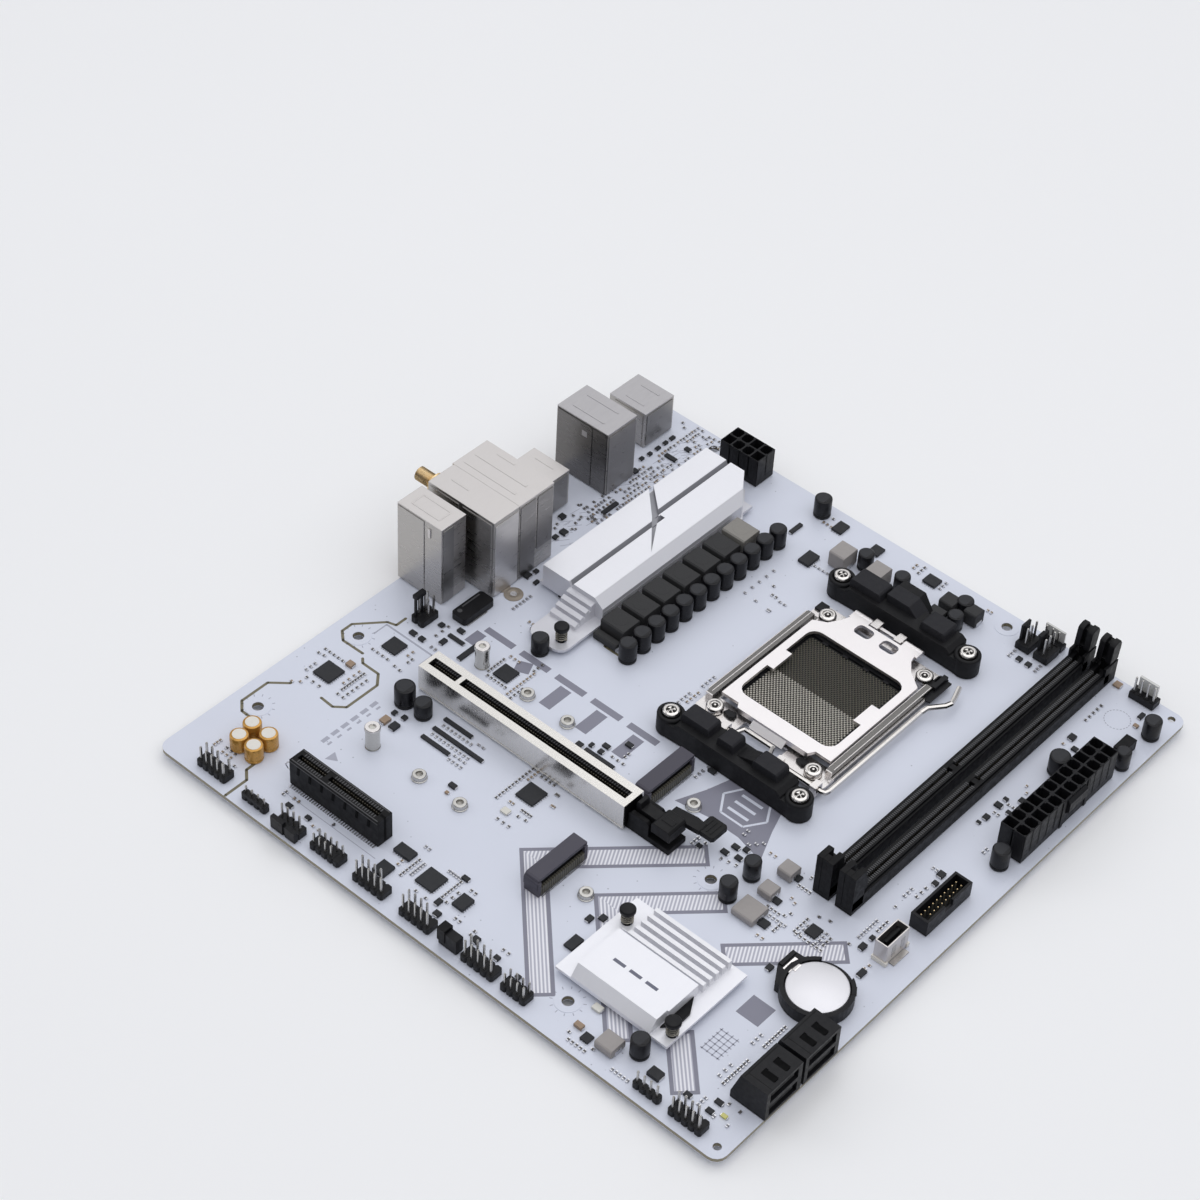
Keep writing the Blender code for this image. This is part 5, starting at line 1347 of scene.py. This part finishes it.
def memory_slot(number, x):
    """A long slot with its fixed tower, low end walls, contacts and end latch."""
    slot = Piece(f"memory_slot_moulding_{number}", "slot_black", bevel=0.12,
                 slot="black_plastic", replaces=(f"memory_slot_{number}",))
    slot.box(around(x, 3.2), (98.3, 242.6), (0.3, 1.9))
    slot.box(around(x, 1.0), (98.4, 101.2), (1.8, 17.0))
    slot.box(around(x, 1.0), (165.0, 167.2), (1.8, 6.7))
    for near, far, y, z in (
            (0.95, 2.4, (98.4, 238.4), (1.8, 6.8)), (2.3, 3.2, (98.4, 238.4), (1.8, 5.9)),
            (1.0, 3.2, (98.3, 104.2), (1.8, 17.0)), (2.2, 3.2, (235.4, 242.6), (1.8, 9.4)),
            (1.2, 2.6, (104.0, 106.4), (6.6, 12.0))):
        for span in both_sides(x, near, far):
            slot.box(span, y, z)
    slot.done()
    ribs = Piece(f"memory_slot_contacts_{number}", "slot_rib", "contact_metal", bevel=0,
                 slot="black_plastic")
    for y in line_up(105.4, 0.85, 152):
        if not 164.0 < y < 168.0:
            for cell in both_sides(x, 0.55, 1.75):
                ribs.box(cell, (y, y + 0.4), (5.9, 6.86))
            for tip in both_sides(x, 0.5, 0.97):
                ribs.box(tip, (y + 0.45, y + 0.75), (3.6, 5.6), "contact_metal")
    ribs.done()
    latch = Piece(f"memory_latch_lever_{number}", "latch_black", body=f"latch_{number}",
                  bevel=0.2, slot="black_plastic", replaces=(f"memory_latch_{number}",))
    latch.prism([(238.2, 3.2), (239.6, 0.9), (242.2, 0.9), (242.3, 11.0), (237.9, 11.0),
                 (238.6, 9.4), (239.7, 8.4), (239.7, 4.4)], around(x, 1.8), axis="x")
    head = [(237.6, 10.0), (242.4, 10.0), (242.9, 14.6), (243.0, 16.8), (242.2, 18.3),
            (240.8, 18.6), (239.0, 18.2), (238.2, 17.4)]
    for span in both_sides(x, 0.85, 3.0):
        latch.prism(head, span, axis="x")
    latch.prism([(239.4, 10.2), (242.2, 10.2), (242.6, 17.2), (239.8, 16.6)], around(x, 1.0),
                axis="x")
    for z in (13.4, 14.6, 15.8):
        latch.box(around(x, 2.6), (242.5, 243.0), (z, z + 0.5))
    latch.done()


def make_memory_slots():
    """The two memory slots, side by side."""
    for number, x in enumerate((194.2, 203.1), 1):
        memory_slot(number, x)


def slot_body(shape, x, y, half, top, gaps):
    """A card slot: two walls with a groove between, closed where there is no gap."""
    shape.box(x, around(y, half), (0.3, 2.7))
    for wall in both_sides(y, 0.95, half):
        shape.box(x, wall, (2.6, top))
    edges = [x[0], *(value for gap in gaps for value in gap), x[1]]
    for low, high in zip(edges[::2], edges[1::2]):
        shape.box((low, high), around(y, 1.0), (2.6, top))


def slot_contacts(shape, y, gaps, top):
    """Contacts down both walls of a slot's groove, and the cells moulded over them."""
    for low, high in gaps:
        for x in line_up(low + 0.5, 1.0, int(high - low)):
            for tip in both_sides(y, 0.5, 0.98):
                shape.box((x, x + 0.55), tip, (top - 3.0, top - 0.9), "contact_metal")
            for wall in both_sides(y, 0.96, 2.2):
                shape.box((x + 0.55, x + 0.95), wall, (top - 0.3, top + 0.08), "slot_rib")


def make_long_slot():
    """The armoured slot, with the cheeks that hold its retainer and the armour's feet."""
    y, top = 80.75, 10.2
    gaps = ((43.6, 55.6), (57.4, 129.6))
    body = Piece("long_slot_moulding", "slot_black", "slot_rib", "contact_metal", bevel=0.12,
                 slot="black_plastic", replaces=("long_expansion_slot",))
    slot_body(body, (42.4, 131.4), y, 3.8, top, gaps)
    body.box((131.0, 149.2), (y - 2.8, y + 5.6), (0.3, 2.6))
    for low, high in ((-2.8, -1.2), (4.0, 5.6)):
        body.prism([(132.2, 2.4), (140.6, 2.4), (140.6, 7.4), (139.6, 8.4), (133.2, 8.4),
                    (132.2, 7.4)], (y + low, y + high), axis="y")
    body.box((140.4, 144.0), (y + 4.6, y + 5.6), (2.4, 3.6))
    slot_contacts(body, y, gaps, top)
    body.done()
    feet = Piece("long_slot_armour_feet", "armour_metal", bevel=0.08, slot="bright_steel")
    for x in line_up(45.4, 13.7, 7):
        for edge in (y - 4.7, y + 4.1):
            feet.box((x, x + 2.2), (edge, edge + 0.6), (-0.02, 0.8))
    feet.box((42.2, 131.6), (y - 4.86, y - 4.66), (0.9, 1.5))
    feet.done()


def make_short_slot():
    """The plain slot, ribbed on one long side, with its wire and its solder tails."""
    y, top = 21.2, 11.2
    gaps = ((43.6, 55.4), (57.2, 79.0))
    short = Piece("short_slot_moulding", "slot_black", "slot_rib", "contact_metal", "solder",
                  "painted_hole_shade", bevel=0.12, slot="black_plastic",
                  replaces=("short_expansion_slot",))
    slot_body(short, (42.2, 81.4), y, 3.2, top, gaps)
    slot_contacts(short, y, gaps, top)
    # Dark shapes on the long wall: painted shade standing for openings.
    for x in line_up(45.4, 5.2, 7):
        short.prism([(x, 6.6), (x + 1.1, 6.6), (x + 1.5, 9.9), (x + 0.4, 9.9)],
                    (y - 3.34, y - 3.0), "painted_hole_shade", "y")
    short.box((42.3, 81.3), (y - 3.3, y - 3.1), (10.3, 10.7), "slot_rib")
    for ridge in both_sides(y, 2.5, 2.9):
        short.box((42.8, 80.8), ridge, (11.0, 11.3), "slot_rib")
    # Dark strips at the end of the groove: painted shade.
    short.box((81.2, 81.44), around(y, 0.5), (1.0, 11.22), "painted_hole_shade")
    short.box((79.4, 81.3), around(y, 0.5), (10.9, 11.22), "painted_hole_shade")
    short.tube([(42.6, 19.2, 8.8), (40.9, 18.6, 8.5), (40.0, 18.4, 7.0), (40.6, 18.8, 5.4),
                (42.6, 19.4, 4.9)], 0.22, "solder")
    for x in line_up(43.0, 1.0, 38):
        short.box((x, x + 0.5), (y - 4.6, y - 3.1), (0.02, 0.3), "solder")
    short.done()


def make_retainer():
    """The long slot's card retainer: a block on a pivot, with an arm to a side paddle."""
    y = 82.15
    latch = Piece("retainer_lever", "latch_black", body="retainer", bevel=0.25,
                  slot="black_plastic", replaces=("slot_retainer",))
    latch.prism([(133.4, 5.4), (148.8, 5.4), (148.8, 8.8), (147.6, 9.6), (135.6, 9.6),
                 (135.2, 12.0), (133.8, 12.0), (133.4, 10.6)], around(y, 2.1), axis="y")
    latch.prism([(141.4, 5.6), (149.0, 5.6), (149.0, 9.2), (148.2, 10.0), (142.2, 10.0),
                 (141.4, 9.2)], around(y, 4.1), axis="y")
    latch.box((143.0, 147.6), around(y, 1.2), (9.9, 10.2))
    latch.box((135.8, 138.2), around(y, 2.1), (3.1, 6.0))
    latch.prism([(142.0, y + 3.0), (154.0, y + 4.2), (154.4, y + 8.2), (150.0, y + 8.6),
                 (142.0, y + 7.4)], (6.8, 8.8))
    latch.prism([(152.3, y + 4.6), (158.6, y + 4.6), (159.3, y + 5.4), (159.3, y + 11.8),
                 (158.6, y + 12.4), (153.0, y + 12.4), (152.3, y + 11.6)], (6.6, 8.6))
    for x in (153.8, 155.4, 157.0):
        latch.box((x, x + 0.6), (y + 5.8, y + 11.2), (8.5, 8.8))
    latch.done()


def make_card_sockets():
    """The two card sockets and the tall stand-off that each one's card is screwed to."""
    for name, low in (("lower", 37.0), ("upper", 88.4)):
        socket = Piece(f"{name}_card_socket_moulding", "black_moulding", "violet_moulding",
                       "solder", "painted_hole_shade", "contact_tan", "contact_base", bevel=0.12,
                       slot="grey_plastic", replaces=(f"{name}_card_socket",))
        high = low + 23.0
        socket.box((125.6, 130.4), (low + 0.6, high - 0.6), (0.3, 6.4))
        socket.box((125.3, 131.0), (low + 1.4, high), (6.2, 7.4), "violet_moulding")
        nose = [(low + 1.5, 7.4), (low + 1.5, 3.0), (low, 3.0), (low, 5.6), (low + 0.8, 7.1)]
        socket.prism(nose, (125.3, 131.0), "violet_moulding", "x")
        for edge in (low + 0.2, high - 1.6):
            socket.box((125.4, 131.5), (edge, edge + 1.4), (0.3, 6.3), "violet_moulding")
        mouth = (low + 1.6, high - 1.6)
        # A dark sheet in the mouth: painted shade.
        socket.box((130.3, 130.5), mouth, (3.9, 6.3), "painted_hole_shade")
        socket.box((130.0, 131.5), mouth, (0.4, 3.8), "contact_tan")
        for y in line_up(low + 2.0, 1.0, 19):
            socket.box((130.2, 131.56), (y, y + 0.3), (0.6, 3.84), "contact_base")
        for y in line_up(low + 1.6, 0.5, 40):
            socket.box((131.2, 132.3), (y, y + 0.24), (0.02, 0.26), "solder")
        socket.done()
    for number, place in enumerate(((49.4, 47.6), (49.2, 98.8)), 1):
        stud = Piece(f"card_stud_{number}", "stud_metal", "nickel", bevel=0.06,
                     slot="bright_steel", replaces=(f"card_standoff_{number}",))
        stud.turned(place, ((0, 0.1), (2.6, 0.1), (2.6, 0.4), (2.45, 0.6), (2.45, 7.6),
                            (2.7, 7.8), (2.7, 8.6), (0, 8.6)))
        stud.turned(place, ((0, 8.4), (2.65, 8.4), (2.65, 8.9), (2.4, 9.2), (1.25, 9.2),
                            (1.1, 9.0), (1.1, 8.2), (0, 8.2)), "nickel")
        stud.done()


# --- Power, storage and small connectors --------------------------------------------------


def power_block(name, node_name, x, y, columns, rows, top, catches):
    """Walled cells with a terminal at the foot of each and a catch on one side."""
    block = Piece(name, "black_moulding", "pin_metal", bevel=0.14, slot="black_plastic",
                  replaces=(node_name,))
    pitch_x = (x[1] - x[0]) / rows
    pitch_y = (y[1] - y[0]) / columns
    half_wall = 0.36
    block.box(x, y, (0.3, 3.0))
    for middle in line_up(x[0], pitch_x, rows + 1):
        low, high = around(middle, half_wall)
        block.box((max(low, x[0]), min(high, x[1])), y, (2.9, top))
    for middle in line_up(y[0], pitch_y, columns + 1):
        low, high = around(middle, half_wall)
        block.box(x, (max(low, y[0]), min(high, y[1])), (2.9, top - 0.02))
    for column in range(columns):
        for row in range(rows):
            middle_x = x[0] + pitch_x * (row + 0.5)
            middle_y = y[0] + pitch_y * (column + 0.5)
            block.block(middle_x, middle_y, 0.5, 0.5, (2.8, 8.0), "pin_metal")
            if (row + column) % 3:
                for sign_x, sign_y in ((-1, -1), (1, -1), (-1, 1), (1, 1)):
                    block.block(middle_x + sign_x * (pitch_x / 2 - 0.5),
                                middle_y + sign_y * (pitch_y / 2 - 0.5), 0.42, 0.42,
                                (2.9, top - 0.1), turn=45)
    for outline, span, axis in catches:
        block.prism(outline, span, axis=axis)
    block.done()


def make_power_connectors():
    """The board's and the processor's power connectors."""
    rib = [(231.8, 0.3), (232.35, 0.3), (232.35, 11.8), (231.8, 12.6)]
    power_block("main_power_block", "main_power_connector", (222.3, 232.0), (152.6, 204.2),
                12, 2, 12.8, (
                    ([(231.8, 5.0), (233.3, 6.6), (233.3, 10.4), (232.4, 11.4),
                      (231.8, 11.4)], (176.0, 186.0), "y"),
                    (rib, (173.4, 175.0), "y"), (rib, (187.0, 188.6), "y")))
    power_block("processor_power_block", "processor_power_connector", (39.9, 57.3),
                (231.9, 241.6), 2, 4, 12.3, (
                    ([(241.4, 5.0), (242.8, 6.6), (242.8, 10.2), (242.0, 11.2),
                      (241.4, 11.2)], (45.6, 51.6), "x"),))


def make_front_headers():
    """The pins inside the boxed front USB header, and the upright front USB-C connector."""
    wells = Piece("front_usb_pins", "gold", "slot_black", "contact_tan", bevel=0,
                  slot="gold_plate")
    wells.box((222.6, 227.3), (109.0, 130.0), (1.3, 1.7), "slot_black")
    for index, y in enumerate(line_up(110.4, 2.0, 10)):
        for x in (223.9, 225.9):
            if index or x < 225.0:
                wells.block(x, y, 0.22, 0.22, (1.5, 5.2), "contact_tan")
                wells.block(x, y, 0.16, 0.16, (5.1, 5.4))
    wells.done()
    case = Piece("front_usb_c_shell", "tin_painted_light", "slot_black", "cap_white", "tin", bevel=0.15,
                 slot="bright_steel", replaces=("front_usb_c_connector",))
    # The shell's walls are the lighter tin copy: painted light.
    for x in ((221.2, 221.7), (225.7, 226.2)):
        case.box(x, (90.2, 101.2), (0.5, 9.0))
    for y in ((90.0, 90.5), (100.9, 101.4)):
        case.box((221.4, 226.0), y, (0.5, 9.0))
    case.box((221.6, 225.8), (90.4, 101.0), (0.3, 6.2), "slot_black")
    case.box((223.2, 224.2), (92.0, 99.4), (6.0, 8.2), "slot_black")
    for y in (92.6, 97.2):
        case.box((226.1, 226.34), (y, y + 2.0), (2.4, 6.8), "tin")
    for y in (89.6, 100.4):
        case.box((220.9, 226.6), (y, y + 1.4), (0.2, 1.8), "cap_white")
    case.box((226.2, 228.2), (92.0, 99.6), (0.05, 0.5), "tin")
    case.done()


def make_storage_contacts():
    """Tongues and contacts in the storage connectors, and the seams on their tops."""
    tongues = Piece("storage_contacts", "slot_black", "gold", "painted_hole_shade", bevel=0.08,
                    slot="black_plastic")
    for low in (20.4, 38.1):
        for level in (2.8, 8.8):
            tongues.box((233.8, 235.4), (low + 2.8, low + 13.2), (level + 0.1, level + 1.1))
            for y in line_up(low + 4.0, 1.27, 7):
                tongues.box((230.0, 235.2), (y, y + 0.6), (level + 1.05, level + 1.24),
                            "gold")
        # Dark openings in the tops: painted shade.
        for y in (low + 4.8, low + 10.3):
            tongues.box((229.4, 234.4), (y - 0.2, y + 2.2), (12.3, 12.63), "painted_hole_shade")
        tongues.box((226.6, 227.0), (low + 0.6, low + 15.7), (12.3, 12.64))
        tongues.box((226.8, 235.8), (low + 2.2, low + 2.5), (12.3, 12.64))
    tongues.done()


def make_battery():
    """The coin cell and the springs and lugs of its holder."""
    x, y = 218.2, 66.6
    cell = Piece("coin_cell_can", "cell_steel", bevel=0, slot="bright_steel",
                 replaces=("coin_cell",))
    cell.turned((x, y), ((0, 1.5), (9.0, 1.5), (10.0, 2.1), (10.0, 4.1), (9.75, 4.6),
                         (9.2, 4.8), (0, 4.8)), sides=72)
    cell.done()
    clip = Piece("coin_cell_contacts", "nickel", "black_moulding", "slot_black", bevel=0.1,
                 slot="bright_steel")
    clip.box((205.8, 208.4), (65.0, 71.0), (4.3, 4.6))
    clip.prism([(207.6, 4.4), (209.0, 5.0), (209.6, 4.9), (209.5, 4.6), (207.8, 4.1)],
               (66.4, 69.6), axis="y")
    clip.box((203.7, 205.2), (65.6, 72.6), (4.3, 4.9), "black_moulding")
    clip.box((206.4, 207.4), (67.4, 68.8), (4.5, 4.75), "slot_black")
    for angle in (35, 150, 265):
        turn = math.radians(angle)
        clip.block(x + 11.0 * math.cos(turn), y + 11.0 * math.sin(turn), 0.8, 1.6, (4.2, 5.0),
                   "black_moulding", angle)
    clip.done()


def make_fan_headers():
    """Three fan headers and the lamp header beside them."""
    for number, x in enumerate(((172.8, 178.5), (180.3, 186.1)), 1):
        fan = Piece(f"fan_pins_{number}", "black_moulding", "pin_metal", bevel=0.12,
                    slot="black_plastic", replaces=(f"fan_header_{number}",))
        fan.box(x, (231.0, 238.6), (0.3, 3.0))
        fan.box((x[0] + 0.2, x[0] + 1.2), (232.8, 237.4), (2.0, 9.6))
        fan.box((x[1] - 1.0, x[1]), (231.0, 238.6), (2.8, 3.5))
        for y in line_up(232.0, 2.54, 3):
            fan.box((x[0] + 3.0, x[0] + 3.64), (y, y + 0.64), (2.8, 10.3), "pin_metal")
        fan.done()
    back = Piece("fan_header_3_pins", "black_moulding", "pin_metal", "clear_tab", bevel=0.12,
                 slot="black_plastic", replaces=("fan_header_3",))
    back.box((214.6, 224.4), (238.6, 243.2), (0.3, 3.0))
    back.box((215.8, 223.2), (241.9, 242.9), (2.0, 8.4), "clear_tab")
    for x in line_up(215.4, 2.54, 4):
        back.box((x, x + 0.64), (239.6, 240.24), (2.8, 9.5), "pin_metal")
        back.box((x - 0.5, x + 1.14), (239.0, 240.9), (2.9, 3.3))
    back.done()
    tab = Piece("light_header_tab", "clear_tab", "black_moulding", "pin_metal", bevel=0.12,
                slot="black_plastic")
    tab.box((176.4, 186.0), (239.4, 242.8), (0.3, 2.6), "black_moulding")
    tab.box((177.2, 185.2), (242.0, 242.8), (2.4, 7.2))
    for x in line_up(178.2, 2.54, 3):
        tab.box((x, x + 0.6), (240.4, 241.0), (2.4, 7.8), "pin_metal")
    tab.done()


def make_wireless_socket():
    """The low black socket block, its first-pin mark, slot and solder tails."""
    x, y, z = node_limits("wireless_card_socket")
    socket = Piece("wireless_socket_block", "black_moulding", "pin_metal", "slot_rib",
                   bevel=0.35, slot="black_plastic", replaces=("wireless_card_socket",))
    corners = rounded((x[0] + 0.1, x[1] - 0.5), (y[0] + 0.1, y[1] - 0.1), 1.3, 3)
    socket.prism(corners, (0.3, z[1] - 0.1))
    socket.rod((x[0] + 2.0, y[0] + 2.6), 0.9, (z[1] - 0.2, z[1] - 0.04), "slot_rib", sides=20)
    socket.box((x[0] + 0.9, x[0] + 1.5), (y[0] + 4.6, y[1] - 2.0), (z[1] - 0.2, z[1]),
               "slot_rib")
    for low in line_up(y[0] + 1.2, 0.62, 16):
        socket.box((x[1] - 0.9, x[1]), (low, low + 0.26), (0.03, 0.5), "pin_metal")
    socket.done()


# --- Camera, light and floor --------------------------------------------------------------


FLOOR_GAP = 0.0002


def make_camera():
    """The view from the front bottom corner, above the board."""
    camera = bpy.data.cameras.new("camera")
    camera.sensor_width = 36.0
    camera.lens = 87.70
    camera.shift_x = -0.0889
    camera.shift_y = -0.0101
    camera.clip_start = 0.01
    camera.clip_end = 20.0
    made = bpy.data.objects.new("camera", camera)
    right = Vector((0.76034, 0.64598, 0.06779))
    up = Vector((-0.48234, 0.49164, 0.72500))
    back = right.cross(up)
    turn = Matrix((right, up, back)).transposed().to_4x4()
    made.matrix_world = Matrix.Translation(at(516.47, -407.97, 690.0)) @ turn
    bpy.context.scene.collection.objects.link(made)
    bpy.context.scene.camera = made


def area_light(name, place, size, power):
    """A white rectangular light, aimed at the middle of the object."""
    light = bpy.data.lights.new(name, "AREA")
    light.shape = "RECTANGLE"
    light.size = size[0]
    light.size_y = size[1]
    light.energy = power
    made = bpy.data.objects.new(name, light)
    made.location = place
    made.rotation_euler = (-Vector(place)).to_track_quat("-Z", "Y").to_euler()
    bpy.context.scene.collection.objects.link(made)


def make_world():
    """Soft surroundings, dim near the horizon and lighter overhead."""
    world = bpy.data.worlds.new("studio")
    world.use_nodes = True
    tree = world.node_tree
    place = node(tree, "ShaderNodeTexCoord")
    parts = node(tree, "ShaderNodeSeparateXYZ", {0: place.outputs["Generated"]})
    rise = node(tree, "ShaderNodeMapRange", {0: parts.outputs["Z"], 1: 0.0, 2: 0.8, 3: 0.16,
                                             4: 0.52})
    back = tree.nodes["Background"]
    back.inputs["Color"].default_value = (0.93, 0.95, 1.0, 1.0)
    tree.links.new(rise.outputs[0], back.inputs["Strength"])
    bpy.context.scene.world = world


def make_studio():
    """The floor just under the object, the surroundings and three soft lights."""
    mesh = bpy.data.meshes.new("floor")
    shape = bmesh.new()
    bmesh.ops.create_grid(shape, x_segments=1, y_segments=1, size=3.0)
    shape.to_mesh(mesh)
    shape.free()
    floor = bpy.data.objects.new("floor", mesh)
    floor.location.z = CAD_BOX[0][2] - FLOOR_GAP
    bpy.context.scene.collection.objects.link(floor)
    finish("floor", (246, 246, 247), 0.6, mottle=0.01, scale=3.0, bump=0.0)
    mesh.materials.append(LOOK["floor"])
    make_world()
    area_light("overhead", (0.3, 0.0, 1.3), (2.2, 2.0), 11.6)
    area_light("rear_panel", (-0.75, 1.0, 1.15), (1.9, 1.7), 5.4)
    area_light("left_panel", (-1.1, -0.5, 0.75), (0.7, 0.7), 1.6)
    bpy.context.scene.view_settings.view_transform = "Standard"


NODE_LOOKS = {
    "socket_frame": "frame_nickel", "load_plate": "plate_nickel",
    "load_lever": "wire_nickel", "chipset_heatsink": "chipset_white",
    "long_slot_armour": "armour_metal",
}
SLOT_LOOKS = {
    "white_board": "board_mask", "black_plastic": "black_moulding",
    "grey_plastic": "violet_moulding", "bright_steel": "nickel", "shield_steel": "tin",
    "white_aluminium": "regulator_white", "gold_plate": "gold", "dark_ferrite": "ferrite",
    "chip_black": "chip_epoxy",
}


def paint_nodes():
    """Gives every CAD node its finish, by its name or else by the record's slot."""
    slots = {row["node"]: row["material_slot"] for row in frame["record"]["subparts"]}
    for name, made in NODES.items():
        look = NODE_LOOKS.get(name) or SLOT_LOOKS[slots[name]]
        for index in range(len(made.data.materials)):
            made.material_slots[index].material = LOOK[look]


make_materials()
paint_nodes()
make_bands()
make_blocks()
make_tracks()
make_small_parts()
make_faint_runs()
make_cans()
make_chokes()
make_nuts()
make_pin_headers()
make_lamp()
make_heatsink_details()
make_rear_stacks()
make_antenna_connectors()
make_socket()
make_socket_screws()
make_brackets()
make_memory_slots()
make_long_slot()
make_short_slot()
make_retainer()
make_card_sockets()
make_power_connectors()
make_front_headers()
make_storage_contacts()
make_battery()
make_fan_headers()
make_wireless_socket()
make_camera()
make_studio()
